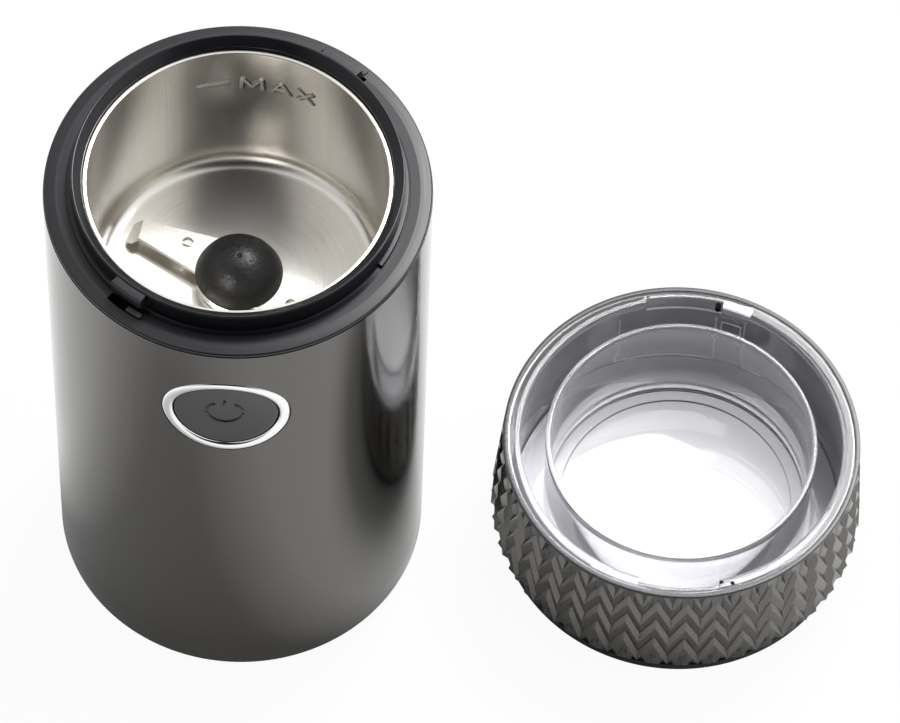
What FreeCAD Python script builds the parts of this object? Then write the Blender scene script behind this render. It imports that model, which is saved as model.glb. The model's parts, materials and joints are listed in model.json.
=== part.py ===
import FreeCAD, Part
import math
import os
import re
import Sketcher

# Electric spice grinder: an upright round base with a steel cup, and its lid standing upside down beside it.
# Millimetres and degrees. The origin is on the base's axis at the floor, +Z is up and the button faces -Y.

SIZES = [
    ("casing_radius", 45.0, "outer radius of the casing"),
    ("casing_wall", 1.2, "wall of the casing sleeve"),
    ("casing_edge", 0.9, "rounding of the casing's bottom edge"),
    ("foot_height", 1.5, "how far the feet hold the casing off the floor"),
    ("flange_height", 151.0, "height of the collar's flange over the floor"),
    ("flange_edge", 1.2, "thickness of the collar's flange"),
    ("flange_inset", 0.15, "how far the flange stays inside the casing's face"),
    ("seam", 0.1, "shadow gap under the flange"),
    ("fit_gap", 0.3, "clearance between sleeves that slide together"),
    ("slip_gap", 0.1, "clearance of a close round fit"),
    ("shaft_gap", 0.04, "running clearance round the shaft"),
    ("chassis_wall", 1.2, "wall of the inner chassis"),
    ("shelf_thick", 3.0, "thickness of the chassis shelf"),
    ("seat_height", 7.4, "height of the cup's seat on the shelf"),
    ("shelf_bore", 12.0, "radius of the hole in the shelf"),
    ("flange_width", 6.35, "width of the flange outside the lip"),
    ("lip_wall", 2.6, "thickness of the collar's lip at its foot"),
    ("lip_height", 5.9, "height of the lip over the flange"),
    ("lip_slope", 0.35, "how far the lip's inner face opens upward"),
    ("collar_skirt_wall", 1.6, "wall of the collar's hidden skirt"),
    ("collar_skirt_depth", 7.0, "depth of the collar's hidden skirt"),
    ("lug_reach", 2.2, "how far a bayonet lug stands out of the lip"),
    ("lug_thick", 3.4, "height of a bayonet lug"),
    ("lug_angle", 228.5, "where the first lug starts"),
    ("lug_span", 12.5, "angle that a lug covers"),
    ("slot_gap", 1.4, "distance of the slot under a lug from the lip"),
    ("slot_width", 2.2, "width of the slot under a lug"),
    ("slot_extra", 0.8, "angle by which a slot runs on past its lug"),
    ("rib_reach", 1.0, "width of the low rib round the lip"),
    ("rib_height", 0.9, "height of the low rib round the lip"),
    ("rib_span", 77.0, "angle that a low rib covers"),
    ("rib_pause", 1.0, "angle between a low rib and the next lug"),
    ("cup_wall", 0.6, "sheet thickness of the cup"),
    ("cup_rim_drop", 2.7, "how far the cup's rim lies below the lip"),
    ("cup_rim_width", 1.0, "width of the rolled rim"),
    ("cup_rim_height", 0.9, "height of the rolled rim"),
    ("cup_depth", 45.2, "depth of the cup from rim to floor"),
    ("cup_corner", 4.1, "inner rounding between the cup's wall and floor"),
    ("cup_hole", 8.0, "radius of the hole in the cup's floor"),
    ("seal_height", 5.0, "height of the cup's rubber seal"),
    ("boss_radius", 20.0, "radius of the seat under the cup"),
    ("boss_bore", 6.2, "radius of the pocket for the shaft seal"),
    ("shaft_seal_height", 4.0, "height of the shaft seal"),
    ("shaft_radius", 3.0, "radius of the motor shaft"),
    ("shaft_tail", 0.4, "how far the shaft stands out under the fan"),
    ("shaft_in_knob", 4.5, "how far the shaft reaches into the knob"),
    ("hub_radius", 9.9, "radius of the blade's hub"),
    ("hub_height", 2.45, "height of the blade's hub"),
    ("hub_float", 0.35, "running gap between hub and cup floor"),
    ("blade_thick", 1.2, "thickness of the blade"),
    ("blade_angle", 148.8, "direction in which one blade arm points"),
    ("blade_gap", 5.6, "gap between the circle that the blade sweeps and the cup's wall"),
    ("blade_back_inset", 2.3, "how far a blade arm's slanted edge ends inside that circle"),
    ("blade_tip_back_side", 0.9, "side step of the slanted edge at its tip"),
    ("blade_front_inset", 4.1, "how far a blade arm's straight edge ends inside that circle"),
    ("blade_half_width", 5.6, "half width of a blade arm"),
    ("blade_root", 8.0, "where a blade arm leaves the middle"),
    ("blade_hole", 1.4, "radius of the holes in the blade"),
    ("blade_hole_place", 14.85, "distance of the blade's holes from the axis"),
    ("wing_length", 3.4, "length of a bent blade tip"),
    ("wing_width", 7.0, "width of a bent blade tip"),
    ("wing_bend", 42.0, "angle by which a blade tip is bent down"),
    ("knob_radius", 10.35, "radius of the knob"),
    ("knob_height", 8.1, "height of the knob"),
    ("knob_dimple", 0.6, "radius of the moulding mark on the knob"),
    ("bearing_radius", 8.5, "outer radius of a bearing"),
    ("bearing_width", 6.0, "width of a bearing"),
    ("bearing_groove", 1.2, "half width of a bearing's shield groove"),
    ("bearing_groove_depth", 0.5, "depth of a bearing's shield groove"),
    ("bearing_wall", 3.0, "wall of a bearing's housing"),
    ("housing_end", 1.0, "thickness of a bearing housing's end"),
    ("shaft_way", 2.0, "clearance of the shaft's way through a bracket"),
    ("damper_height", 3.0, "height of a rubber damper"),
    ("damper_radius", 5.0, "radius of a rubber damper"),
    ("damper_place", 22.0, "distance of a damper from the axis"),
    ("bracket_thick", 4.0, "thickness of a motor bracket"),
    ("bracket_radius", 31.0, "radius of a motor bracket"),
    ("bracket_vent", 5.0, "radius of the air holes in the lower bracket"),
    ("post_radius", 4.0, "radius of the posts between brackets and stator"),
    ("post_place", 25.0, "distance of the posts from the axis"),
    ("motor_screw_radius", 1.9, "radius of the long motor screws"),
    ("motor_head_radius", 3.4, "radius of a motor screw's head"),
    ("motor_head_height", 2.0, "height of a motor screw's head"),
    ("stator_gap", 9.0, "gap between the stator and the upper bracket"),
    ("stator_height", 26.0, "height of the stator stack"),
    ("stator_radius", 31.0, "radius of the stator stack"),
    ("stator_depth", 50.0, "distance across the stator's flats"),
    ("air_gap", 0.6, "gap between armature and stator"),
    ("armature_radius", 17.0, "radius of the armature"),
    ("winding_radius", 10.5, "radius of the armature's end turns"),
    ("winding_height", 4.0, "height of the armature's end turns"),
    ("coil_leg", 5.4, "width of a field coil's leg"),
    ("coil_depth", 7.4, "depth of a field coil"),
    ("coil_place_x", 17.6, "side distance of a coil leg"),
    ("coil_place_y", 15.2, "depth distance of a coil leg"),
    ("coil_overhang", 4.0, "how far the coils stand out of the stack"),
    ("coil_end", 3.6, "thickness of a coil's end turns"),
    ("commutator_radius", 9.0, "radius of the commutator"),
    ("commutator_height", 10.0, "height of the commutator"),
    ("brush_width", 3.8, "width of a carbon brush"),
    ("brush_height", 5.8, "height of a carbon brush"),
    ("brush_length", 9.0, "length of a carbon brush"),
    ("brush_spring_radius", 1.4, "mean radius of a brush spring"),
    ("brush_spring_wire", 0.25, "wire radius of a brush spring"),
    ("brush_spring_turns", 4.0, "turns of a brush spring"),
    ("holder_wall", 0.9, "wall of a brush holder"),
    ("holder_length", 14.0, "length of a brush holder"),
    ("bracket_gap", 10.0, "height of the commutator over the underside of the lower bracket"),
    ("fan_gap", 1.5, "gap between the fan and the lower bracket's housing"),
    ("fan_height", 8.5, "height of the fan"),
    ("fan_radius", 26.0, "radius of the fan"),
    ("fan_disc", 1.4, "thickness of the fan's disc"),
    ("fan_hub", 6.0, "radius of the fan's hub"),
    ("vane_thick", 1.4, "thickness of a fan vane"),
    ("vane_count", 9, "number of fan vanes"),
    ("plate_recess", 0.3, "how far the base plate lies inside the casing"),
    ("plate_thick", 2.5, "thickness of the base plate"),
    ("vent_start", 13.0, "inner end of a vent in the base plate"),
    ("vent_end", 28.0, "outer end of a vent in the base plate"),
    ("vent_width", 3.0, "width of a vent"),
    ("vent_count", 14, "number of vents"),
    ("foot_radius", 6.0, "radius of a rubber foot"),
    ("foot_inset", 10.0, "distance of a foot's middle from the casing's face"),
    ("screw_inset", 4.4, "distance of a base screw's middle from the chassis wall"),
    ("screw_angle", 20.0, "where the first base screw sits"),
    ("screw_radius", 1.4, "radius of a base screw"),
    ("screw_length", 11.0, "length of a base screw"),
    ("screw_head_radius", 2.7, "radius of a base screw's head"),
    ("screw_head_height", 1.2, "height of a base screw's head"),
    ("screw_boss_radius", 4.5, "radius of a screw boss in the chassis"),
    ("screw_boss_height", 15.0, "height of a screw boss in the chassis"),
    ("gland_height", 14.0, "height of the cord gland"),
    ("gland_radius", 5.8, "radius of the cord gland"),
    ("gland_bore", 3.3, "radius of the cord's way through the gland"),
    ("gland_flange", 8.0, "radius of the gland's flange"),
    ("gland_proud", 1.6, "how far the gland stands out of the casing"),
    ("gland_inside", 6.0, "how far the gland reaches inside the chassis"),
    ("gland_nut", 1.4, "how far the gland's inner collar stands round it"),
    ("terminal_radial", 5.0, "depth of the terminal block"),
    ("terminal_width", 14.0, "width of the terminal block"),
    ("terminal_height", 14.0, "height of the terminal block"),
    ("button_drop", 28.1, "how far the button's centre lies below the flange"),
    ("bezel_radius", 14.9, "outer radius of the button's bezel"),
    ("bezel_width", 2.55, "width of the bezel's face"),
    ("bezel_proud", 0.2, "how far the bezel stands out of the casing"),
    ("bezel_depth", 4.6, "depth of the bezel"),
    ("button_recess", 1.65, "how far the button's flat face lies behind the casing's front"),
    ("button_thick", 1.2, "thickness of the button's face"),
    ("button_skirt_wall", 1.2, "wall of the button's skirt"),
    ("button_skirt_depth", 3.8, "depth of the button's skirt"),
    ("button_play", 0.25, "gap between button and bezel"),
    ("board_side", 6.3, "how much less than the inner radius of the chassis the board is wide"),
    ("board_height", 16.0, "height of the switch board"),
    ("board_thick", 1.0, "thickness of the switch board"),
    ("switch_width", 6.0, "width of the push switch"),
    ("switch_height", 2.6, "height of the push switch over its board"),
    ("switch_nib", 1.6, "radius of the push switch's nib"),
    ("switch_nib_height", 0.4, "height of the push switch's nib"),
    ("button_spring_radius", 5.6, "mean radius of the button's spring"),
    ("button_spring_wire", 0.4, "wire radius of the button's spring"),
    ("button_spring_turns", 2.0, "turns of the button's spring"),
    ("plunger_angle", 238.4, "where the interlock plunger sits"),
    ("plunger_inset", 0.85, "distance of the plunger's middle from the slot's inner edge"),
    ("plunger_depth", 1.3, "radial thickness of the plunger"),
    ("plunger_width", 4.0, "width of the plunger"),
    ("plunger_length", 14.5, "length of the plunger's blade"),
    ("plunger_drop", 0.3, "how far the plunger lies below the flange"),
    ("plunger_travel", 2.5, "travel of the plunger"),
    ("plunger_stem", 0.6, "radius of the plunger's stem"),
    ("plunger_spring_radius", 1.05, "mean radius of the plunger's spring"),
    ("plunger_spring_wire", 0.16, "wire radius of the plunger's spring"),
    ("plunger_spring_length", 8.0, "length of the plunger's spring"),
    ("plunger_spring_turns", 7.0, "turns of the plunger's spring"),
    ("ledge_reach", 3.7, "how far the plunger's ledge stands out of the chassis"),
    ("ledge_width", 7.0, "width of the plunger's ledge"),
    ("ledge_thick", 1.5, "thickness of the plunger's ledge"),
    ("interlock_height", 12.0, "height of the interlock switch"),
    ("interlock_depth", 3.2, "radial thickness of the interlock switch"),
    ("interlock_width", 7.0, "width of the interlock switch"),
    ("lead_radius", 0.8, "radius of an insulated lead"),
    ("lead_inset", 2.0, "distance of the leads from the chassis wall"),
    ("lead_spread", 1.6, "side distance of each lead"),
    ("lead_notch", 3.4, "half width of the leads' notch in the shelf"),
    ("lid_x", 108.2, "place of the lid beside the base"),
    ("lid_y", 4.1, "place of the lid beside the base"),
    ("lid_height", 38.56, "height of the lid"),
    ("grip_bulge", 3.85, "largest thickness of the lid's grip"),
    ("lid_wide_height", 7.76, "height of the lid's largest radius"),
    ("grip_rim", 1.66, "thickness of the lid's grip at the rim"),
    ("grip_foot", 1.3, "thickness of the lid's grip at the trim ring"),
    ("trim_height", 2.9, "height of the lid's trim ring"),
    ("trim_width", 4.1, "width of the lid's trim ring"),
    ("trim_edge", 1.0, "rounding of the trim ring's edge"),
    ("skirt_wall", 1.2, "wall of the lid's clear skirt"),
    ("lock_clear", 0.15, "clearance between the lid's bayonet flange and the low ribs"),
    ("lock_thick", 2.2, "thickness of the lid's bayonet flange"),
    ("lock_front", 257.0, "where the front gap in the bayonet flange starts"),
    ("lock_gap", 27.0, "angle of a gap in the bayonet flange"),
    ("key_depth", 5.0, "height of the key blocks beside the gaps"),
    ("key_span", 9.0, "angle that a key block covers"),
    ("tube_gap", 1.35, "gap between the bowl's rim band and the cup's wall"),
    ("tube_wall", 1.0, "wall of the lid's bowl"),
    ("tube_band", 0.35, "how far the bowl's rim band stands out"),
    ("tube_band_height", 3.2, "height of the bowl's rim band"),
    ("window_height", 7.5, "height of the window's inner face"),
    ("window_thick", 1.6, "thickness of the window"),
    ("window_ring_inset", 2.0, "distance of the ring round the window from the bowl's wall"),
    ("window_ring_width", 1.2, "width of the ring round the window"),
    ("window_ring_height", 1.2, "height of the ring round the window"),
    ("overrun", 1.0, "how far a cutting tool runs past its piece, and a root into what carries it"),
]

# Places worked out from the sizes above.
PLACES = {
    "casing_inside": "casing_radius - casing_wall",
    "casing_top": "flange_height - flange_edge - seam",
    "chassis_radius": "casing_inside - fit_gap",
    "chassis_inside": "chassis_radius - chassis_wall",
    "flange_bottom": "flange_height - flange_edge",
    "flange_radius": "casing_radius - flange_inset",
    "lip_radius": "flange_radius - flange_width",
    "lip_inside": "lip_radius - lip_wall",
    "slot_inner": "lip_radius + slot_gap",
    "slot_outer": "slot_inner + slot_width",
    "shelf_top": "cup_underside - seat_height",
    "shelf_height": "shelf_top - shelf_thick",
    "lip_top": "flange_height + lip_height",
    "lug_bottom": "lip_top - lug_thick",
    "cup_outside": "cup_radius + cup_wall",
    "cup_rim_radius": "lip_inside - slip_gap",
    "cup_radius": "cup_rim_radius - cup_rim_width",
    "cup_rim_top": "lip_top - cup_rim_drop",
    "cup_floor": "cup_rim_top - cup_depth",
    "cup_underside": "cup_floor - cup_wall",
    "seal_radius": "skirt_inside - slip_gap",
    "skirt_inside": "collar_skirt_radius - collar_skirt_wall",
    "collar_skirt_radius": "slot_inner - slip_gap",
    "hub_bottom": "cup_floor + hub_float",
    "blade_reach": "cup_radius - blade_gap",
    "blade_tip_back": "blade_reach - blade_back_inset",
    "blade_tip_front": "blade_reach - blade_front_inset",
    "blade_bottom": "hub_bottom + hub_height",
    "knob_bottom": "blade_bottom + blade_thick",
    "knob_top": "knob_bottom + knob_height",
    "knob_ball": "(knob_radius ^ 2 + knob_height ^ 2) / (2 * knob_height)",
    "shaft_end": "knob_bottom + shaft_in_knob",
    "press_bore": "shaft_radius + shaft_gap / 2",
    "run_bore": "shaft_radius + shaft_gap",
    "upper_bracket_top": "shelf_height - damper_height",
    "upper_bracket_bottom": "upper_bracket_top - bracket_thick",
    "housing_radius": "bearing_radius + bearing_wall",
    "stator_top": "upper_bracket_bottom - stator_gap",
    "stator_bottom": "stator_top - stator_height",
    "commutator_bottom": "stator_bottom - winding_height - commutator_height",
    "commutator_middle": "commutator_bottom + commutator_height / 2",
    "lower_bracket_bottom": "commutator_bottom - bracket_gap",
    "lower_bracket_top": "lower_bracket_bottom + bracket_thick",
    "lower_housing_bottom": "lower_bracket_bottom - bracket_thick / 2",
    "fan_top": "lower_housing_bottom - fan_gap",
    "fan_bottom": "fan_top - fan_height",
    "shaft_start": "fan_bottom - shaft_tail",
    "holder_height": "brush_height + 2 * holder_wall",
    "holder_width": "brush_width + 2 * holder_wall",
    "brush_start": "commutator_radius + fit_gap",
    "holder_start": "brush_start + 2 * holder_wall",
    "plate_bottom": "foot_height + plate_recess",
    "plate_top": "plate_bottom + plate_thick",
    "foot_place": "casing_radius - foot_inset",
    "screw_place": "chassis_inside - screw_inset",
    "button_height": "flange_height - button_drop",
    "button_face": "casing_radius - button_recess",
    "button_back": "button_face - button_thick",
    "button_radius": "bezel_radius - bezel_width - button_play",
    "board_width": "chassis_inside - board_side",
    "board_front": "sqrt((chassis_inside - fit_gap) ^ 2 - (board_width / 2) ^ 2)",
    "plunger_top": "flange_height - plunger_drop",
    "plunger_place": "slot_inner + plunger_inset",
    "lead_place": "chassis_inside - lead_inset",
    "plunger_foot": "plunger_top - plunger_length",
    "ledge_top": "plunger_foot - plunger_spring_length",
    "ledge_bottom": "ledge_top - ledge_thick",
    "interlock_top": "ledge_bottom - plunger_travel - fit_gap",
    "interlock_bottom": "interlock_top - interlock_height",
    "interlock_face": "sqrt((chassis_inside - fit_gap) ^ 2 - (interlock_width / 2) ^ 2)",
    "terminal_face": "sqrt((chassis_inside - fit_gap) ^ 2 - (terminal_width / 2) ^ 2)",
    "terminal_top": "plate_top + terminal_height",
    "skirt_inner": "lip_radius + lug_reach + fit_gap",
    "skirt_radius": "skirt_inner + skirt_wall",
    "band_inner": "skirt_radius + slip_gap",
    "lid_wide_radius": "band_inner + grip_bulge",
    "lid_rim_radius": "band_inner + grip_rim",
    "lid_foot_radius": "band_inner + grip_foot",
    "lock_bottom": "lid_height - lock_thick",
    "lock_radius": "lip_radius + rib_reach + lock_clear",
    "tube_radius": "cup_radius - tube_gap - tube_band",
    "tube_inner": "tube_radius - tube_wall",
    "window_ring_outer": "tube_inner - window_ring_inset",
    "window_ring": "window_ring_outer - window_ring_width",
    "window_bottom": "window_height - window_thick",
    "beyond": "lip_top + casing_radius",
}
ALIASES = {name for name, value, meaning in SIZES}
VERTICAL = FreeCAD.Vector(0, 0, 1)
ACROSS = FreeCAD.Vector(1, 0, 0)
QUARTER_TURN = 90.0
HALF_TURN = 180.0
FULL_TURN = 360.0
CORNERS = range(4)

doc = FreeCAD.newDocument("SpiceGrinder")
sheet = doc.addObject("Spreadsheet::Sheet", "Sizes")
for row, (alias, value, meaning) in enumerate(SIZES, start=1):
    sheet.set(f"A{row}", meaning)
    sheet.set(f"B{row}", str(value))
    sheet.setAlias(f"B{row}", alias)
doc.recompute()
PIECES = []


def spell(text):
    """Write a document expression from the words of SIZES and PLACES."""

    def word(match):
        name = match.group(0)
        if name in PLACES:
            return "(" + spell(PLACES[name]) + ")"
        return "Sizes." + name if name in ALIASES else name

    return re.sub(r"[A-Za-z_]\w*", word, str(text))


def measure(text):
    """The present value of an expression."""
    return float(sheet.evalExpression(spell(text)))


def bind(thing, **sizes):
    """Tie properties of an object to expressions of the sheet."""
    for name, text in sizes.items():
        thing.setExpression(name, spell(text))


def place(thing, x="0", y="0", z="0", turn=None):
    """Put an object at a bound place, turned about the vertical through it."""
    if turn is not None:
        thing.Placement.Rotation = FreeCAD.Rotation(VERTICAL, measure(turn))
        thing.setExpression(".Placement.Rotation.Angle", spell(turn))
    for letter, text in zip("xyz", (x, y, z)):
        thing.setExpression(f".Placement.Base.{letter}", spell(text))
    return thing


def keep(thing):
    """Count an object as a finished piece, filed under its label."""
    PIECES.append(thing)
    return thing


def draw(body, name, plane, outline, lift="0"):
    """Sketch a closed straight-sided outline whose corners are bound to the sheet."""
    sketch = body.newObject("Sketcher::SketchObject", name)
    support = [face for face in body.Origin.OriginFeatures if face.Role == plane][0]
    sketch.AttachmentSupport = [(support, "")]
    sketch.MapMode = "FlatFace"
    sketch.setExpression(".AttachmentOffset.Base.z", spell(lift))
    corners = [FreeCAD.Vector(measure(a), measure(b), 0) for a, b in outline]
    lines = []
    for here, there in zip(corners, corners[1:] + corners[:1]):
        lines.append(sketch.addGeometry(Part.LineSegment(here, there), False))
    for line, following in zip(lines, lines[1:] + lines[:1]):
        sketch.addConstraint(Sketcher.Constraint("Coincident", line, 2, following, 1))
    for line, corner, (a, b) in zip(lines, corners, outline):
        for kind, value, text in (("DistanceX", corner.x, a), ("DistanceY", corner.y, b)):
            index = sketch.addConstraint(Sketcher.Constraint(kind, -1, 1, line, 1, value))
            sketch.setExpression(f"Constraints[{index}]", spell(text))
    return sketch


def turned(label, outline):
    """A body made by turning an outline of radius and height about the vertical axis."""
    body = doc.addObject("PartDesign::Body", label)
    sketch = draw(body, label + "_outline", "XZ_Plane", outline)
    feature = body.newObject("PartDesign::Revolution", label + "_turn")
    feature.Profile = sketch
    feature.ReferenceAxis = (sketch, ["V_Axis"])
    feature.Angle = FULL_TURN
    return body


def ring_outline(inner, outer, bottom, top):
    """The rectangle that a plain ring is turned from."""
    return [(inner, bottom), (outer, bottom), (outer, top), (inner, top)]


def column(name, radius, bottom, top, x="0", y="0"):
    """An upright cylinder."""
    thing = doc.addObject("Part::Cylinder", name)
    bind(thing, Radius=radius, Height=f"({top}) - ({bottom})")
    return place(thing, x, y, bottom)


def rod(name, radius, near, far, z, x="0"):
    """A cylinder that lies along Y, from near to far."""
    thing = doc.addObject("Part::Cylinder", name)
    bind(thing, Radius=radius, Height=f"({far}) - ({near})")
    thing.Placement.Rotation = FreeCAD.Rotation(ACROSS, -QUARTER_TURN)
    return place(thing, x, near, z)


def block(name, width, depth, bottom, top, x="0", y="0"):
    """An upright box, centred on x and y."""
    thing = doc.addObject("Part::Box", name)
    bind(thing, Length=width, Width=depth, Height=f"({top}) - ({bottom})")
    return place(thing, f"({x}) - ({width}) / 2", f"({y}) - ({depth}) / 2", bottom)


def wall_block(name, inner, outer, width, bottom, top, turn):
    """A box that stands off the axis in the direction turn, between two distances."""
    thing = doc.addObject("Part::Box", name)
    bind(thing, Length=f"({outer}) - ({inner})", Width=width, Height=f"({top}) - ({bottom})")
    x = f"({inner}) * cos({turn}) + ({width}) / 2 * sin({turn})"
    y = f"({inner}) * sin({turn}) - ({width}) / 2 * cos({turn})"
    return place(thing, x, y, bottom, turn)


def arc_block(name, inner, outer, bottom, top, start, span):
    """A stretch of a ring between two radii."""
    wedge = doc.addObject("Part::Cylinder", name + "_wedge")
    bind(wedge, Radius=outer, Height=f"({top}) - ({bottom})", Angle=span)
    place(wedge, "0", "0", bottom, start)
    core = column(name + "_core", inner, f"({bottom}) - overrun", f"({top}) + overrun")
    return cut(name, wedge, [core])


def cut(name, base, tools):
    """What is left of base when the tools are taken away, one after another."""
    for number, tool in enumerate(tools):
        last = number == len(tools) - 1
        result = doc.addObject("Part::Cut", name if last else f"{name}_cut_{number}")
        result.Base = base
        result.Tool = tool
        base = result
    return base


def join(name, things):
    """Several overlapping objects as one solid."""
    result = doc.addObject("Part::MultiFuse", name)
    result.Shapes = things
    return result


def shared(name, first, second):
    """What two objects have in common."""
    result = doc.addObject("Part::Common", name)
    result.Base = first
    result.Tool = second
    return result


def group(name, things):
    """Separate solids that share one name."""
    result = doc.addObject("Part::Compound", name)
    result.Links = things
    return result


def around(place_text, angle_text):
    """The x and y of a point at a distance and a direction."""
    return f"({place_text}) * cos({angle_text})", f"({place_text}) * sin({angle_text})"


def spring(name, radius, wire, length, turns):
    """A coil of round wire that rises from its own origin."""
    coil = doc.addObject("Part::Helix", name + "_line")
    bind(coil, Radius=radius, Height=f"({length}) - 2 * ({wire})", Pitch=f"({length}) / ({turns})")
    section = doc.addObject("Part::Circle", name + "_wire")
    bind(section, Radius=wire)
    section.Placement.Rotation = FreeCAD.Rotation(ACROSS, QUARTER_TURN)
    place(section, radius)
    sweep = doc.addObject("Part::Sweep", name)
    sweep.Sections = [section]
    sweep.Spine = (coil, ["Edge1"])
    sweep.Solid = True
    sweep.Frenet = True
    return sweep


def soften(body, feature, label, radius, chosen):
    """Round the edges of a body for which chosen says yes."""
    doc.recompute()
    names = [f"Edge{i}" for i, edge in enumerate(feature.Shape.Edges, start=1) if chosen(edge)]
    fillet = body.newObject("PartDesign::Fillet", label)
    fillet.Base = (feature, names)
    bind(fillet, Radius=radius)
    return fillet


def circle_at(radius, height):
    """A test for the level circle of that radius and height."""
    wanted = (measure(radius), measure(height))

    def chosen(edge):
        curve = edge.Curve
        if not isinstance(curve, Part.Circle):
            return False
        return abs(curve.Radius - wanted[0]) < 0.01 and abs(curve.Center.z - wanted[1]) < 0.01

    return chosen


def make_casing():
    """The dark sleeve, with a hole for the button at the front and one for the cord at the back."""
    sleeve = turned("casing_sleeve",
                    ring_outline("casing_inside", "casing_radius", "foot_height", "casing_top"))
    soften(sleeve, sleeve.Tip, "casing_round", "casing_edge", circle_at("casing_radius", "foot_height"))
    window = rod("casing_window", "bezel_radius + slip_gap", "-beyond", "0", "button_height")
    cord_hole = rod("casing_cord_hole", "gland_radius + slip_gap", "0", "beyond", "gland_height")
    keep(cut("outer_casing", sleeve, [window, cord_hole]))


def make_chassis():
    """The plastic tube inside the sleeve, with the shelf that carries cup and motor."""
    tube = turned("chassis_tube",
                  ring_outline("chassis_inside", "chassis_radius", "plate_top", "flange_bottom"))
    shelf_ring = ring_outline("shelf_bore", "chassis_inside + chassis_wall / 2", "shelf_height", "shelf_top")
    parts = [tube, turned("chassis_shelf", shelf_ring)]
    holes = []
    for number in CORNERS:
        angle = f"screw_angle + {number * QUARTER_TURN}"
        x, y = around("screw_place", angle)
        parts.append(column(f"chassis_boss_{number}", "screw_boss_radius", "plate_top",
                            "plate_top + screw_boss_height", x, y))
        holes.append(column(f"chassis_pilot_{number}", "screw_radius + slip_gap", "plate_top - overrun",
                            "plate_bottom + screw_length + overrun", x, y))
    parts.append(wall_block("chassis_ledge", "chassis_inside - ledge_reach",
                            "chassis_inside + chassis_wall / 2",
                            "ledge_width", "ledge_bottom", "ledge_top", "plunger_angle"))
    x, y = around("plunger_place", "plunger_angle")
    holes.append(column("ledge_hole", "plunger_stem + fit_gap", "ledge_bottom - overrun",
                        "ledge_top + overrun", x, y))
    holes.append(wall_block("lead_notch_cut", "lead_place - 2 * lead_radius", "chassis_inside",
                            "2 * lead_notch",
                            "shelf_height - overrun", "shelf_top + overrun", "plunger_angle"))
    holes.append(rod("chassis_window", "bezel_radius + fit_gap", "-beyond", "0", "button_height"))
    holes.append(rod("chassis_cord_hole", "gland_radius + slip_gap", "0", "beyond", "gland_height"))
    trimmed = shared("chassis_trimmed", join("chassis_joined", parts),
                     column("chassis_limit", "chassis_radius", "0", "beyond"))
    keep(cut("inner_chassis", trimmed, holes))


def make_collar():
    """The black ring on top: flange, lip, two bayonet lugs over slots, and low ribs."""
    outline = [
        ("skirt_inside", "flange_bottom - collar_skirt_depth"),
        ("collar_skirt_radius", "flange_bottom - collar_skirt_depth"),
        ("collar_skirt_radius", "flange_bottom"),
        ("flange_radius", "flange_bottom"),
        ("flange_radius", "flange_height"),
        ("lip_radius", "flange_height"),
        ("lip_radius", "lip_top"),
        ("lip_inside + lip_slope", "lip_top"),
        ("lip_inside", "cup_rim_top"),
        ("lip_inside", "cup_rim_top - cup_rim_height - slip_gap"),
        ("cup_outside + slip_gap", "cup_rim_top - cup_rim_height - slip_gap"),
        ("cup_outside + slip_gap", "flange_bottom"),
        ("skirt_inside", "flange_bottom"),
    ]
    parts = [turned("collar_ring", outline)]
    slots = []
    for side, offset in enumerate((0.0, HALF_TURN)):
        start = f"lug_angle + {offset}"
        parts.append(arc_block(f"collar_lug_{side}", "lip_radius - overrun", "lip_radius + lug_reach",
                               "lug_bottom", "lip_top", start, "lug_span"))
        parts.append(arc_block(f"collar_rib_{side}", "lip_radius - overrun", "lip_radius + rib_reach",
                               "flange_height - rib_height / 2", "flange_height + rib_height",
                               f"{start} - rib_span - rib_pause", "rib_span"))
        slots.append(arc_block(f"collar_slot_{side}", "slot_inner", "slot_outer",
                               "flange_bottom - overrun", "flange_height + overrun", start,
                               "lug_span + slot_extra"))
    keep(cut("top_collar", join("collar_joined", parts), slots))
    keep(turned("cup_seal", ring_outline("cup_outside + slip_gap", "seal_radius",
                                         "flange_bottom - seal_height", "flange_bottom")))


def make_cup():
    """The steel cup with a rolled rim, and the seat and seal under its floor."""
    outline = [
        ("cup_hole", "cup_underside"),
        ("cup_outside", "cup_underside"),
        ("cup_outside", "cup_rim_top - cup_rim_height"),
        ("cup_rim_radius", "cup_rim_top - cup_rim_height"),
        ("cup_rim_radius", "cup_rim_top"),
        ("cup_radius", "cup_rim_top"),
        ("cup_radius", "cup_floor"),
        ("cup_hole", "cup_floor"),
    ]
    cup = turned("grinding_cup", outline)
    inner = soften(cup, cup.Tip, "cup_inner_round", "cup_corner", circle_at("cup_radius", "cup_floor"))
    outer = soften(cup, inner, "cup_outer_round", "cup_corner + cup_wall",
                   circle_at("cup_outside", "cup_underside"))
    rim = "cup_rim_height / 3"
    soften(cup, outer, "cup_rim_round", rim, circle_at("cup_rim_radius", "cup_rim_top"))
    keep(cup)
    seat = [
        ("boss_bore", "shelf_top"),
        ("boss_radius", "shelf_top"),
        ("boss_radius", "cup_underside"),
        ("cup_hole - slip_gap", "cup_underside"),
        ("cup_hole - slip_gap", "cup_floor - slip_gap"),
        ("run_bore + fit_gap", "cup_floor - slip_gap"),
        ("run_bore + fit_gap", "shelf_top + shaft_seal_height"),
        ("boss_bore", "shelf_top + shaft_seal_height"),
    ]
    keep(turned("cup_seat", seat))
    keep(turned("shaft_seal", ring_outline("run_bore", "boss_bore - slip_gap", "shelf_top",
                                           "shelf_top + shaft_seal_height")))


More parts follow.
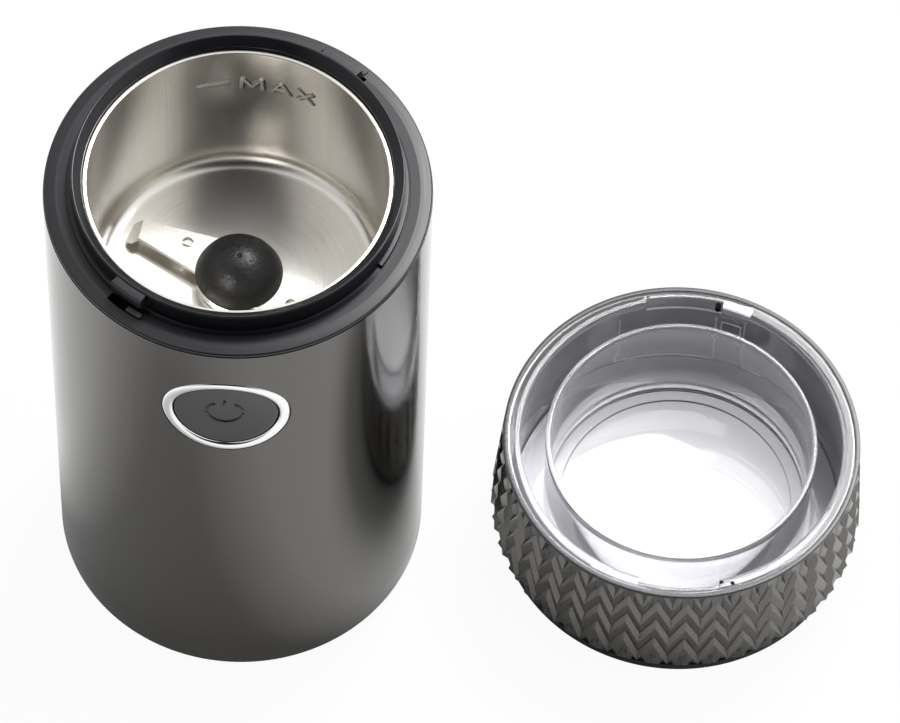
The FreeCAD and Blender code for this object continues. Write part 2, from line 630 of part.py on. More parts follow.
def make_blade():
    """Hub, two-armed blade with bent tips, and the domed knob on top."""
    keep(turned("blade_hub", ring_outline("press_bore", "hub_radius", "hub_bottom", "blade_bottom")))
    half = [
        ("blade_root", "-blade_half_width"),
        ("blade_tip_back", "blade_tip_back_side"),
        ("blade_tip_front", "blade_half_width"),
        ("blade_root", "blade_half_width"),
    ]
    body = doc.addObject("PartDesign::Body", "blade_arms")
    outline = half[1:3] + [half[3]]
    outline += [(f"-({a})", f"-({b})") for a, b in half] + [half[0]]
    sketch = draw(body, "blade_outline", "XY_Plane", outline, "blade_bottom")
    pad = body.newObject("PartDesign::Pad", "blade_pad")
    pad.Profile = sketch
    bind(pad, Length="blade_thick")
    fold_side = "blade_half_width - blade_tip_back_side"
    fold_run = "blade_tip_back - blade_tip_front"
    fold = math.degrees(math.atan2(measure(fold_run), measure(fold_side)))
    wings = []
    for side, offset in enumerate((0.0, HALF_TURN)):
        wing = doc.addObject("Part::Box", f"blade_wing_{side}")
        bind(wing, Length="wing_length", Width="wing_width", Height="blade_thick")
        bent = FreeCAD.Rotation(FreeCAD.Vector(0, 1, 0), measure("wing_bend"))
        hinge = FreeCAD.Vector(measure("blade_tip_back"), measure("blade_tip_back_side"),
                               measure("knob_bottom"))
        local = FreeCAD.Placement(FreeCAD.Vector(0, 0, -measure("blade_thick")), FreeCAD.Rotation())
        fold_turn = FreeCAD.Placement(hinge, FreeCAD.Rotation(VERTICAL, fold))
        whole = FreeCAD.Placement(FreeCAD.Vector(), FreeCAD.Rotation(VERTICAL, offset))
        bend = FreeCAD.Placement(FreeCAD.Vector(), bent)
        wing.Placement = whole.multiply(fold_turn).multiply(bend).multiply(local)
        wings.append(wing)
    limit = column("blade_limit", "blade_reach", "hub_bottom", "knob_top")
    rounded = shared("blade_rounded", join("blade_joined", [body] + wings), limit)
    holes = [column("blade_bore", "press_bore", "0", "beyond")]
    for side in (1, -1):
        holes.append(column(f"blade_eye_{side + 1}", "blade_hole", "0", "beyond",
                            f"{side} * blade_hole_place"))
    keep(place(cut("blade", rounded, holes), turn="blade_angle"))

    ball = doc.addObject("Part::Sphere", "knob_ball_shape")
    bind(ball, Radius="knob_ball")
    place(ball, z="knob_top - knob_ball")
    dome = shared("knob_dome", ball, column("knob_limit", "knob_radius", "knob_bottom", "knob_top"))
    bore = column("knob_bore", "press_bore", "knob_bottom - overrun", "shaft_end + slip_gap")
    mark = column("knob_mark", "knob_dimple", "knob_top - knob_dimple", "knob_top + overrun")
    keep(cut("blade_knob", dome, [bore, mark]))


def make_rotor():
    """Shaft, armature, commutator and fan, which turn with the blade."""
    shaft = column("motor_shaft", "shaft_radius", "shaft_start", "shaft_end")
    keep(shaft)
    keep(turned("armature_core",
                ring_outline("press_bore", "armature_radius", "stator_bottom", "stator_top")))
    ends = [
        turned("lower_end_turns", ring_outline("press_bore", "winding_radius",
                                               "stator_bottom - winding_height", "stator_bottom")),
        turned("upper_end_turns", ring_outline("press_bore", "winding_radius",
                                               "stator_top", "stator_top + winding_height")),
    ]
    keep(group("armature_windings", ends))
    commutator_end = "commutator_bottom + commutator_height"
    keep(turned("commutator",
                ring_outline("press_bore", "commutator_radius", "commutator_bottom", commutator_end)))
    vanes = [
        column("fan_disc_shape", "fan_radius", "fan_bottom", "fan_bottom + fan_disc"),
        column("fan_hub_shape", "fan_hub", "fan_bottom", "fan_top"),
    ]
    for number in range(int(measure("vane_count"))):
        vanes.append(wall_block(f"fan_vane_{number}", "fan_hub - overrun", "fan_radius - overrun",
                                "vane_thick",
                                "fan_bottom + fan_disc / 2", "fan_top",
                                f"{number} * {FULL_TURN} / vane_count"))
    keep(cut("cooling_fan", join("fan_joined", vanes), [column("fan_bore", "press_bore", "0", "beyond")]))


def make_bearing(name, bottom):
    """A ball bearing as one ring with its shield grooves."""
    ring = turned(name + "_ring",
                  ring_outline("run_bore", "bearing_radius", bottom, f"{bottom} + bearing_width"))
    middle = "(shaft_radius + bearing_radius) / 2"
    grooves = []
    top = f"{bottom} + bearing_width"
    ends = (
        (f"{bottom} - overrun", f"{bottom} + bearing_groove_depth"),
        (f"{top} - bearing_groove_depth", f"{top} + overrun"),
    )
    for end, (low, high) in enumerate(ends):
        outline = ring_outline(f"{middle} - bearing_groove", f"{middle} + bearing_groove", low, high)
        grooves.append(turned(f"{name}_groove_{end}", outline))
    keep(cut(name, ring, grooves))


def make_brackets():
    """The two brackets that hold bearings and stator, and what hangs them from the shelf."""
    housing_bottom = "upper_bracket_top - bearing_width - bracket_thick / 2"
    upper = [
        block("upper_bar", "2 * bracket_radius", "2 * housing_radius", "upper_bracket_bottom",
              "upper_bracket_top"),
        column("upper_housing", "housing_radius", housing_bottom, "upper_bracket_top"),
    ]
    lower_housing_top = "lower_bracket_bottom + bearing_width"
    lower = [
        column("lower_disc", "bracket_radius", "lower_bracket_bottom", "lower_bracket_top"),
        column("lower_housing", "housing_radius", "lower_housing_bottom", lower_housing_top),
    ]
    holes_up = [
        column("upper_bore", "bearing_radius + slip_gap", housing_bottom + " - overrun",
               "upper_bracket_top - housing_end"),
        column("upper_way", "shaft_radius + shaft_way", "0", "beyond"),
    ]
    holes_low = [
        column("lower_bore", "bearing_radius + slip_gap", "lower_housing_bottom + housing_end",
               lower_housing_top + " + overrun"),
        column("lower_way", "shaft_radius + shaft_way", "0", "beyond"),
    ]
    screws = []
    for side in (1, -1):
        x = f"{side} * post_place"
        upper.append(column(f"upper_post_{side + 1}", "post_radius", "stator_top", "upper_bracket_top", x))
        lower.append(column(f"lower_post_{side + 1}", "post_radius", "lower_bracket_bottom",
                            "stator_bottom", x))
        lower.append(block(f"brush_pillar_{side + 1}", "holder_width", "holder_length / 2",
                           "lower_bracket_bottom",
                           "commutator_middle - holder_height / 2", "0",
                           f"{side} * (holder_start + holder_length * 3 / 4)"))
        for part, holes in ((f"up_{side + 1}", holes_up), (f"low_{side + 1}", holes_low)):
            holes.append(column(f"screw_way_{part}", "motor_screw_radius + slip_gap", "0", "beyond", x))
        shank = column(f"motor_shank_{side + 1}", "motor_screw_radius",
                       "lower_bracket_bottom - motor_head_height / 2", "upper_bracket_top", x)
        head = column(f"motor_head_{side + 1}", "motor_head_radius",
                      "lower_bracket_bottom - motor_head_height",
                      "lower_bracket_bottom", x)
        screws.append(join(f"motor_screw_{side + 1}", [shank, head]))
        for turn in (QUARTER_TURN / 2, 3 * QUARTER_TURN / 2):
            vent_x, vent_y = around(f"{side} * (bracket_radius - 2 * bracket_vent)", turn)
            holes_low.append(column(f"air_hole_{side + 1}_{turn:.0f}", "bracket_vent", "0",
                                    "lower_bracket_top + overrun", vent_x, vent_y))
    keep(cut("upper_motor_bracket", join("upper_bracket_joined", upper), holes_up))
    keep(cut("lower_motor_bracket", join("lower_bracket_joined", lower), holes_low))
    keep(group("motor_screws", screws))
    make_bearing("upper_bearing", "upper_bracket_top - housing_end - bearing_width")
    make_bearing("lower_bearing", "lower_housing_bottom + housing_end")
    dampers = []
    for side in (1, -1):
        dampers.append(column(f"damper_{side + 1}", "damper_radius", "upper_bracket_top", "shelf_height",
                              f"{side} * damper_place"))
    keep(group("rubber_dampers", dampers))


def make_stator():
    """The laminated stack with its two field coils."""
    stack = shared("stator_outline", column("stator_round", "stator_radius", "stator_bottom", "stator_top"),
                   block("stator_flats", "2 * stator_radius", "stator_depth", "stator_bottom", "stator_top"))
    holes = [column("stator_bore", "armature_radius + air_gap", "0", "beyond")]
    coils = []
    for side in (1, -1):
        holes.append(column(f"stator_way_{side + 1}", "motor_screw_radius + slip_gap", "0", "beyond",
                            f"{side} * post_place"))
        turns = []
        y = f"{side} * coil_place_y"
        for hand in (1, -1):
            x = f"{hand} * coil_place_x"
            mark = f"{side + 1}_{hand + 1}"
            holes.append(block(f"coil_window_{mark}", "coil_leg + 2 * fit_gap", "coil_depth + 2 * fit_gap",
                               "stator_bottom - overrun", "stator_top + overrun", x, y))
            turns.append(block(f"coil_leg_{mark}", "coil_leg", "coil_depth", "stator_bottom - coil_overhang",
                               "stator_top + coil_overhang", x, y))
        width = "2 * coil_place_x + coil_leg"
        turns.append(block(f"coil_low_{side + 1}", width, "coil_depth", "stator_bottom - coil_overhang",
                           "stator_bottom - coil_overhang + coil_end", "0", y))
        turns.append(block(f"coil_high_{side + 1}", width, "coil_depth",
                           "stator_top + coil_overhang - coil_end",
                           "stator_top + coil_overhang", "0", y))
        coils.append(join(f"field_coil_{side + 1}", turns))
    keep(cut("stator_core", stack, holes))
    keep(group("field_coils", coils))


def make_brushes():
    """Brass holders with a carbon brush and its spring on each side of the commutator."""
    low = "commutator_middle - holder_height / 2"
    high = "commutator_middle + holder_height / 2"
    room = "holder_start + holder_length - holder_wall - brush_start - brush_length"
    holders = []
    brushes = []
    springs = []
    for side in (1, -1):
        mark = side + 1
        middle = f"{side} * (holder_start + holder_length / 2)"
        shell = block(f"holder_shell_{mark}", "holder_width", "holder_length", low, high, "0", middle)
        inside = block(f"holder_inside_{mark}", "brush_width + 2 * slip_gap", "holder_length",
                       f"{low} + holder_wall - slip_gap", f"{high} - holder_wall + slip_gap", "0",
                       f"{middle} - {side} * holder_wall")
        holders.append(cut(f"holder_{mark}", shell, [inside]))
        brushes.append(block(f"brush_{mark}", "brush_width", "brush_length",
                             "commutator_middle - brush_height / 2",
                             "commutator_middle + brush_height / 2", "0",
                             f"{side} * (brush_start + brush_length / 2)"))
        coil = spring(f"brush_coil_{mark}", "brush_spring_radius", "brush_spring_wire", room,
                      "brush_spring_turns")
        coil.Placement.Rotation = FreeCAD.Rotation(ACROSS, -side * QUARTER_TURN)
        spring_start = f"{side} * (brush_start + brush_length + brush_spring_wire)"
        springs.append(place(coil, "0", spring_start, "commutator_middle"))
    keep(group("brush_holders", holders))
    keep(group("carbon_brushes", brushes))
    keep(group("brush_springs", springs))


def make_base():
    """Vented base plate with its screws, feet, terminal block and cord gland."""
    body = doc.addObject("PartDesign::Body", "plate_disc")
    sketch = body.newObject("Sketcher::SketchObject", "plate_circle")
    support = [face for face in body.Origin.OriginFeatures if face.Role == "XY_Plane"][0]
    sketch.AttachmentSupport = [(support, "")]
    sketch.MapMode = "FlatFace"
    sketch.setExpression(".AttachmentOffset.Base.z", spell("plate_bottom"))
    circle = Part.Circle(FreeCAD.Vector(), VERTICAL, measure("chassis_radius"))
    sketch.addGeometry(circle, False)
    sketch.addConstraint(Sketcher.Constraint("Coincident", 0, 3, -1, 1))
    index = sketch.addConstraint(Sketcher.Constraint("Radius", 0, circle.Radius))
    sketch.setExpression(f"Constraints[{index}]", spell("chassis_radius"))
    disc = body.newObject("PartDesign::Pad", "plate_pad")
    disc.Profile = sketch
    bind(disc, Length="plate_thick")
    slot = draw(body, "plate_vent_outline", "XY_Plane", [
        ("vent_start", "-vent_width / 2"), ("vent_end", "-vent_width / 2"),
        ("vent_end", "vent_width / 2"), ("vent_start", "vent_width / 2")], "plate_top")
    vent = body.newObject("PartDesign::Pocket", "plate_vent")
    vent.Profile = slot
    vent.Type = "ThroughAll"
    doc.recompute()
    pattern = body.newObject("PartDesign::PolarPattern", "plate_vents")
    pattern.Originals = [vent]
    pattern.Axis = (sketch, ["N_Axis"])
    pattern.Angle = FULL_TURN
    bind(pattern, Occurrences="vent_count")
    body.Tip = pattern
    holes = []
    screws = []
    feet = []
    for number in CORNERS:
        x, y = around("screw_place", f"screw_angle + {number * QUARTER_TURN}")
        holes.append(column(f"plate_hole_{number}", "screw_radius + slip_gap", "0", "plate_top + overrun",
                            x, y))
        holes.append(column(f"plate_sink_{number}", "screw_head_radius + slip_gap", "0",
                            "plate_bottom + screw_head_height + slip_gap", x, y))
        head = column(f"screw_head_{number}", "screw_head_radius", "plate_bottom + slip_gap",
                      "plate_bottom + slip_gap + screw_head_height", x, y)
        shank = column(f"screw_shank_{number}", "screw_radius", "plate_bottom + slip_gap",
                       "plate_bottom + screw_length", x, y)
        screws.append(join(f"base_screw_{number}", [head, shank]))
        x, y = around("foot_place", f"{(number + 0.5) * QUARTER_TURN}")
        feet.append(column(f"foot_{number}", "foot_radius", "0", "plate_bottom", x, y))
    keep(cut("base_plate", body, holes))
    keep(group("base_screws", screws))
    keep(group("rubber_feet", feet))
    keep(wall_block("terminal_block", "terminal_face - terminal_radial", "terminal_face", "terminal_width",
                    "plate_top", "terminal_top", "plunger_angle"))

    outside = "casing_radius + gland_proud"
    inside = "chassis_inside - gland_inside"
    flange = cut("gland_flange_cut", rod("gland_flange_shape", "gland_flange", "casing_radius / 2", outside,
                                         "gland_height"),
                 [column("gland_seat", "casing_radius + slip_gap / 2", "0", "beyond")])
    nut = rod("gland_nut_shape", "gland_radius + gland_nut", inside, "chassis_inside - gland_nut",
              "gland_height")
    stem = rod("gland_stem", "gland_radius", inside, outside, "gland_height")
    way = rod("gland_way", "gland_bore", "0", "beyond", "gland_height")
    keep(cut("cord_gland", join("gland_joined", [stem, flange, nut]), [way]))


def make_button():
    """Chrome bezel, flat round button, its spring, and the board with the push switch."""
    disc = rod("bezel_disc", "bezel_radius", "-casing_radius - overrun", "-casing_radius + bezel_depth",
               "button_height")
    hole = rod("bezel_hole", "bezel_radius - bezel_width", "-beyond", "0", "button_height")
    follow = column("bezel_follow", "casing_radius + bezel_proud", "0", "beyond")
    keep(shared("button_bezel", cut("bezel_tube", disc, [hole]), follow))
    face = rod("button_block", "button_radius", "-button_face", "-button_face + button_skirt_depth",
               "button_height")
    hollow = rod("button_hollow", "button_radius - button_skirt_wall", "-button_back", "0", "button_height")
    keep(cut("power_button", face, [hollow]))
    board_low = "button_height - board_height / 2"
    board_high = "button_height + board_height / 2"
    keep(block("switch_board", "board_width", "board_thick", board_low, board_high,
               "0", "-board_front + board_thick / 2"))
    body = block("switch_body", "switch_width", "switch_height", "button_height - switch_width / 2",
                 "button_height + switch_width / 2", "0", "-board_front - switch_height / 2")
    nib = rod("switch_nib_shape", "switch_nib", "-board_front - switch_height - switch_nib_height",
              "-board_front - overrun", "button_height")
    keep(join("push_switch", [body, nib]))
    length = "button_back - board_front"
    coil = spring("button_spring", "button_spring_radius", "button_spring_wire", length,
                  "button_spring_turns")
    coil.Placement.Rotation = FreeCAD.Rotation(ACROSS, QUARTER_TURN)
    keep(place(coil, "0", "-board_front - button_spring_wire", "button_height"))


def make_interlock():
    """The plunger that the locked lid pushes down, its spring, its switch and the leads."""
    x, y = around("plunger_place", "plunger_angle")
    blade = wall_block("plunger_blade", "plunger_place - plunger_depth / 2",
                       "plunger_place + plunger_depth / 2",
                       "plunger_width", "plunger_foot", "plunger_top", "plunger_angle")
    stem = column("plunger_stem_shape", "plunger_stem", "ledge_bottom - slip_gap", "plunger_foot + overrun",
                  x, y)
    keep(join("interlock_plunger", [blade, stem]))
    coil = spring("interlock_spring", "plunger_spring_radius", "plunger_spring_wire", "plunger_spring_length",
                  "plunger_spring_turns")
    keep(place(coil, x, y, "ledge_top + plunger_spring_wire"))
    keep(wall_block("interlock_switch", "interlock_face - interlock_depth", "interlock_face",
                    "interlock_width",
                    "interlock_bottom", "interlock_top", "plunger_angle"))
    leads = []
    for side in (1, -1):
        lead_x = f"lead_place * cos(plunger_angle) - {side} * lead_spread * sin(plunger_angle)"
        lead_y = f"lead_place * sin(plunger_angle) + {side} * lead_spread * cos(plunger_angle)"
        leads.append(column(f"lead_{side + 1}", "lead_radius", "terminal_top", "interlock_bottom", lead_x,
                            lead_y))
    keep(group("switch_leads", leads))


def make_lid():
    """The lid, upside down beside the base: grip band, trim ring, clear skirt and clear bowl."""
    band = [
        ("band_inner", "trim_height"),
        ("lid_foot_radius", "trim_height"),
        ("lid_wide_radius", "lid_wide_height"),
        ("lid_rim_radius", "lid_height"),
        ("band_inner", "lid_height"),
    ]
    trim = turned("lid_trim_ring",
                  ring_outline("lid_foot_radius - trim_width", "lid_foot_radius", "0", "trim_height"))
    soften(trim, trim.Tip, "trim_round", "trim_edge", circle_at("lid_foot_radius", "0"))
    parts = [turned("skirt_wall_ring",
                    ring_outline("skirt_inner", "skirt_radius", "trim_height", "lid_height"))]
    for side, offset in enumerate((0.0, HALF_TURN)):
        start = f"lock_front + {offset}"
        parts.append(arc_block(f"lock_flange_{side}", "lock_radius", "skirt_inner + skirt_wall / 2",
                               "lock_bottom",
                               "lid_height", f"{start} + lock_gap", f"{HALF_TURN} - lock_gap"))
        parts.append(arc_block(f"lock_key_{side}", "lock_radius", "skirt_inner + skirt_wall / 2",
                               "lid_height - key_depth", "lid_height - slip_gap", f"{start} - key_span",
                               "key_span"))
    bowl = [
        ("0", "window_bottom"),
        ("skirt_inner - slip_gap", "window_bottom"),
        ("skirt_inner - slip_gap", "window_height"),
        ("tube_radius", "window_height"),
        ("tube_radius", "lid_height - tube_band_height"),
        ("tube_radius + tube_band", "lid_height - tube_band_height"),
        ("tube_radius + tube_band", "lid_height"),
        ("tube_inner", "lid_height"),
        ("tube_inner", "window_height"),
        ("window_ring_outer", "window_height"),
        ("window_ring_outer", "window_height + window_ring_height"),
        ("window_ring", "window_height + window_ring_height"),
        ("window_ring", "window_height"),
        ("0", "window_height"),
    ]
    for piece in (turned("lid_grip_band", band), trim, join("lid_skirt", parts), turned("lid_bowl", bowl)):
        keep(place(piece, "lid_x", "lid_y"))


def check_and_write():
    """Stop on any failed object or bad shape, then write one file for each piece."""
    doc.recompute()
    for thing in doc.Objects:
        if "Invalid" in thing.State or "Error" in thing.State:
            raise RuntimeError(f"{thing.Name} failed: {thing.State}")
    for piece in PIECES:
        if piece.Shape.isNull() or not piece.Shape.isValid() or not piece.Shape.Solids:
            raise RuntimeError(f"{piece.Label} has no valid solid")
    os.makedirs("parts", exist_ok=True)
    for piece in PIECES:
        piece.Shape.exportStep(os.path.join("parts", piece.Label + ".step"))
        box = piece.Shape.BoundBox
        print(f"{piece.Label}: {len(piece.Shape.Solids)} solids, {piece.Shape.Volume:.1f} mm3,"
              f" z {box.ZMin:.2f} to {box.ZMax:.2f}")


make_casing()
make_chassis()
make_collar()
make_cup()
make_blade()
make_rotor()
make_brackets()
make_stator()
make_brushes()
make_base()
make_button()
make_interlock()
make_lid()
check_and_write()
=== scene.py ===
import json
import math

import bmesh
import bpy
from mathutils import Matrix, Vector
from mathutils.geometry import tessellate_polygon


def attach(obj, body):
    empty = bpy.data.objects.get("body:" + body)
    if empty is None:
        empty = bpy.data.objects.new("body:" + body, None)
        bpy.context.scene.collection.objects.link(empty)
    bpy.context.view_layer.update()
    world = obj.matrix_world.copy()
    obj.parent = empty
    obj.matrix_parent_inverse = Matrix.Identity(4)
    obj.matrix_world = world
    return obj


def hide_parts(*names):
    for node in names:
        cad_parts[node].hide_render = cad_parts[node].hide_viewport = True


# The looks of the electric spice grinder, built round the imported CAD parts.
# Lengths in this script are millimetres and angles degrees, as in the CAD source, until a mesh is made.

MM = 0.001
CASING_R = 45.0
CASING_INNER_R = 43.8
CASING_LOW = 1.5
CASING_TOP = 149.7
BUTTON_Z = 122.9
BUTTON_R = 12.1
BUTTON_HOLE_R = 15.0
FLANGE_LOW = 149.8
FLANGE_Z = 151.0
LIP_Z = 156.9
LUG_START = 228.5
LUG_SPAN = 12.5
CUP_R = 34.8
LID = (108.2, 4.1)
LID_TOP = 38.56

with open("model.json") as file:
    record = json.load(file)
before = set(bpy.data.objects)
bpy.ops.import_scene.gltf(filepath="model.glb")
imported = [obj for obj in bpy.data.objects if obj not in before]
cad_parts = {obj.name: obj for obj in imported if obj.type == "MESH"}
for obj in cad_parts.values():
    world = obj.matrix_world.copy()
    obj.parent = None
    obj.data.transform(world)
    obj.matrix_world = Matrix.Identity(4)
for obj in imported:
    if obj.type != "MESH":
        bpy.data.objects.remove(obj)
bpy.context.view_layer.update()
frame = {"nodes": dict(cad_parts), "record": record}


# Shapes


def polar(radius, angle):
    """The x and y of a point at a radius and a direction."""
    return radius * math.cos(math.radians(angle)), radius * math.sin(math.radians(angle))


def rounded(corners, steps=5):
    """A closed outline whose corners (a, b) or (a, b, rounding) are rounded off."""
    outline = []
    count = len(corners)
    for i, corner in enumerate(corners):
        here = Vector(corner[:2])
        size = corner[2] if len(corner) > 2 else 0.0
        before = Vector(corners[i - 1][:2]) - here
        after = Vector(corners[(i + 1) % count][:2]) - here
        if size <= 0:
            outline.append(tuple(here))
            continue
        if before.length < 1e-6 or after.length < 1e-6:
            outline.extend([tuple(here)] * (steps + 1))
            continue
        a, b = before.normalized(), after.normalized()
        half = math.acos(max(-1.0, min(1.0, a.dot(b)))) / 2
        if half > math.radians(88):
            outline.extend([tuple(here)] * (steps + 1))
            continue
        reach = min(size / math.tan(half), 0.48 * before.length, 0.48 * after.length)
        size = reach * math.tan(half)
        middle = here + (a + b).normalized() * size / math.sin(half)
        start, end = here + a * reach - middle, here + b * reach - middle
        turn = math.atan2(start.x * end.y - start.y * end.x, start.dot(end))
        for k in range(steps + 1):
            swing = turn * k / steps
            c, s = math.cos(swing), math.sin(swing)
            outline.append((middle.x + start.x * c - start.y * s, middle.y + start.x * s + start.y * c))
    return outline


def make(name, points, faces, finish, body, sharp=32.0, merge=0.0004, centre=(0.0, 0.0)):
    """A mesh object that rides on a CAD body, smooth except at edges sharper than an angle."""
    mesh = bpy.data.meshes.new(name)
    places = [((x + centre[0]) * MM, (y + centre[1]) * MM, z * MM) for x, y, z in points]
    mesh.from_pydata(places, [], faces)
    work = bmesh.new()
    work.from_mesh(mesh)
    bmesh.ops.remove_doubles(work, verts=work.verts, dist=merge * MM)
    bmesh.ops.dissolve_degenerate(work, edges=work.edges, dist=1e-9)
    bmesh.ops.recalc_face_normals(work, faces=work.faces)
    work.to_mesh(mesh)
    work.free()
    mesh.shade_smooth()
    mesh.set_sharp_from_angle(angle=math.radians(sharp))
    thing = bpy.data.objects.new(name, mesh)
    bpy.context.scene.collection.objects.link(thing)
    mesh.materials.append(finish)
    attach(thing, body)
    return thing


def ring(name, outline, finish, body, centre=(0.0, 0.0), count=256, start=0.0, span=360.0, sharp=32.0):
    """A closed outline of (radius, height) turned about a vertical axis, all round or part of the way."""
    angles = [start + span * i / count for i in range(count + 1)]
    return swept(name, lambda angle: outline, angles, finish, body, centre, span >= 360.0, sharp)


def side_faces(count, size, whole=True, closed=True):
    """Faces between sections of equal size, carried all round or not, each section closed or not."""
    faces = []
    for i in range(count if whole else count - 1):
        j = (i + 1) % count
        for k in range(size if closed else size - 1):
            m = (k + 1) % size
            faces.append((i * size + k, j * size + k, j * size + m, i * size + m))
    return faces


def swept(name, outline_at, angles, finish, body, centre=(0.0, 0.0), whole=True, sharp=32.0):
    """A turned form whose outline may change with the angle but keeps its number of points."""
    if whole:
        angles = angles[:-1]
    points = []
    for angle in angles:
        points += [(*polar(radius, angle), height) for radius, height in outline_at(angle)]
    size = len(outline_at(angles[0]))
    faces = side_faces(len(angles), size, whole)
    if not whole:
        faces.append(tuple(range(size)))
        faces.append(tuple(reversed([(len(angles) - 1) * size + k for k in range(size)])))
    return make(name, points, faces, finish, body, sharp=sharp, centre=centre)


def soften(thing, width, segments=3, angle=35.0):
    """Small rounded edges."""
    bevel = thing.modifiers.new("edges", "BEVEL")
    bevel.width = width * MM
    bevel.segments = segments
    bevel.limit_method = "ANGLE"
    bevel.angle_limit = math.radians(angle)
    bevel.harden_normals = True
    return thing


def bar(name, path, radius, finish, body, sides=10):
    """A bead of round section along a list of points in mm."""
    points = []
    faces = []
    count = len(path)
    for i, point in enumerate(path):
        point = Vector(point)
        ahead = (Vector(path[min(i + 1, count - 1)]) - Vector(path[max(i - 1, 0)])).normalized()
        side = ahead.cross(Vector((0, 0, 1)))
        if side.length < 1e-3:
            side = ahead.cross(Vector((0, 1, 0)))
        side.normalize()
        up = side.cross(ahead).normalized()
        for k in range(sides):
            swing = 2 * math.pi * k / sides
            points.append(point + side * radius * math.cos(swing) + up * radius * math.sin(swing))
    for i in range(count - 1):
        for k in range(sides):
            m = (k + 1) % sides
            faces.append((i * sides + k, i * sides + m, (i + 1) * sides + m, (i + 1) * sides + k))
    faces.append(tuple(reversed(range(sides))))
    faces.append(tuple((count - 1) * sides + k for k in range(sides)))
    return make(name, points, faces, finish, body, sharp=60.0)


# Finishes


def new_material(name):
    """A material, its nodes, its links and its Principled shader."""
    finish = bpy.data.materials.new(name)
    finish.use_nodes = True
    nodes = finish.node_tree.nodes
    shader = nodes["Principled BSDF"]
    return finish, nodes, finish.node_tree.links, shader


def add_node(nodes, kind, **settings):
    """A new shader node with its settings."""
    node = nodes.new("ShaderNode" + kind)
    for name, value in settings.items():
        setattr(node, name, value)
    return node


def feed(links, socket, value):
    """Link a socket to another one, or give it a plain value."""
    if isinstance(value, bpy.types.NodeSocket):
        links.new(value, socket)
    else:
        socket.default_value = value


def math_node(nodes, links, operation, *values):
    """The result of a sum on numbers or sockets."""
    node = add_node(nodes, "Math", operation=operation)
    for socket, value in zip(node.inputs, values):
        feed(links, socket, value)
    return node.outputs["Value"]


def vector_node(nodes, links, operation, *values, scale=None):
    """A Vector Math node on vectors or sockets."""
    node = add_node(nodes, "VectorMath", operation=operation)
    for socket, value in zip(node.inputs, values):
        feed(links, socket, value)
    if scale is not None:
        feed(links, node.inputs["Scale"], scale)
    return node


def ranged(nodes, links, value, old, new):
    """A socket's value carried from one range to another."""
    change = add_node(nodes, "MapRange")
    change.inputs["From Min"].default_value, change.inputs["From Max"].default_value = old
    change.inputs["To Min"].default_value, change.inputs["To Max"].default_value = new
    links.new(value, change.inputs["Value"])
    return change.outputs["Result"]


def grain_node(nodes, links, scale, stretch=(1, 1, 1)):
    """A noise in the object's own coordinates."""
    where = add_node(nodes, "TexCoord")
    fit = add_node(nodes, "Mapping")
    fit.inputs["Scale"].default_value = stretch
    noise = add_node(nodes, "TexNoise")
    noise.inputs["Scale"].default_value = scale
    noise.inputs["Detail"].default_value = 4.0
    links.new(where.outputs["Object"], fit.inputs["Vector"])
    links.new(fit.outputs["Vector"], noise.inputs["Vector"])
    return noise


WALL_BAND = 1.5
WALL_STREAKS = 90.0
WALL_RISE = 0.008


def round_grain(nodes, links, across, along, wall=None):
    """A noise drawn out in circles round the vertical axis, and upright beyond a wall's radius."""
    where = add_node(nodes, "TexCoord")
    parts = add_node(nodes, "SeparateXYZ")
    links.new(where.outputs["Object"], parts.inputs["Vector"])
    flat = add_node(nodes, "CombineXYZ")
    links.new(parts.outputs["X"], flat.inputs["X"])
    links.new(parts.outputs["Y"], flat.inputs["Y"])
    flat = flat.outputs["Vector"]
    size = vector_node(nodes, links, "LENGTH", flat).outputs["Value"]
    unit = vector_node(nodes, links, "NORMALIZE", flat).outputs["Vector"]
    streaks = along
    if wall:
        streaks = ranged(nodes, links, size, ((wall - WALL_BAND) * MM, wall * MM), (along, WALL_STREAKS))
    slow = vector_node(nodes, links, "SCALE", unit, scale=streaks).outputs["Vector"]
    rise = math_node(nodes, links, "MULTIPLY", parts.outputs["Z"], WALL_RISE if wall else 1.0)
    reach = math_node(nodes, links, "ADD", size, rise)
    lift = add_node(nodes, "CombineXYZ")
    links.new(math_node(nodes, links, "MULTIPLY", reach, across), lift.inputs["Z"])
    total = vector_node(nodes, links, "ADD", slow, lift.outputs["Vector"])
    noise = add_node(nodes, "TexNoise")
    noise.inputs["Scale"].default_value = 1.0
    noise.inputs["Detail"].default_value = 2.0
    links.new(total.outputs["Vector"], noise.inputs["Vector"])
    return noise


def shade(nodes, links, shader, noise, color, spread, rough, rough_spread, bump, depth):
    """Let a noise vary colour, roughness and surface a little round their plain values."""
    low, high = 0.3, 0.7
    ramp = add_node(nodes, "ValToRGB")
    dark, light = ramp.color_ramp.elements
    dark.position = low
    light.position = high
    dark.color = [c * (1 - spread) for c in color] + [1]
    light.color = [min(1.0, c * (1 + spread)) for c in color] + [1]
    links.new(noise.outputs["Fac"], ramp.inputs["Fac"])
    links.new(ramp.outputs["Color"], shader.inputs["Base Color"])
    limits = (max(0.0, rough - rough_spread), min(1.0, rough + rough_spread))
    links.new(ranged(nodes, links, noise.outputs["Fac"], (low, high), limits), shader.inputs["Roughness"])
    if bump:
        raised = add_node(nodes, "Bump")
        raised.inputs["Strength"].default_value = bump
        raised.inputs["Distance"].default_value = depth * MM
        links.new(noise.outputs["Fac"], raised.inputs["Height"])
        links.new(raised.outputs["Normal"], shader.inputs["Normal"])


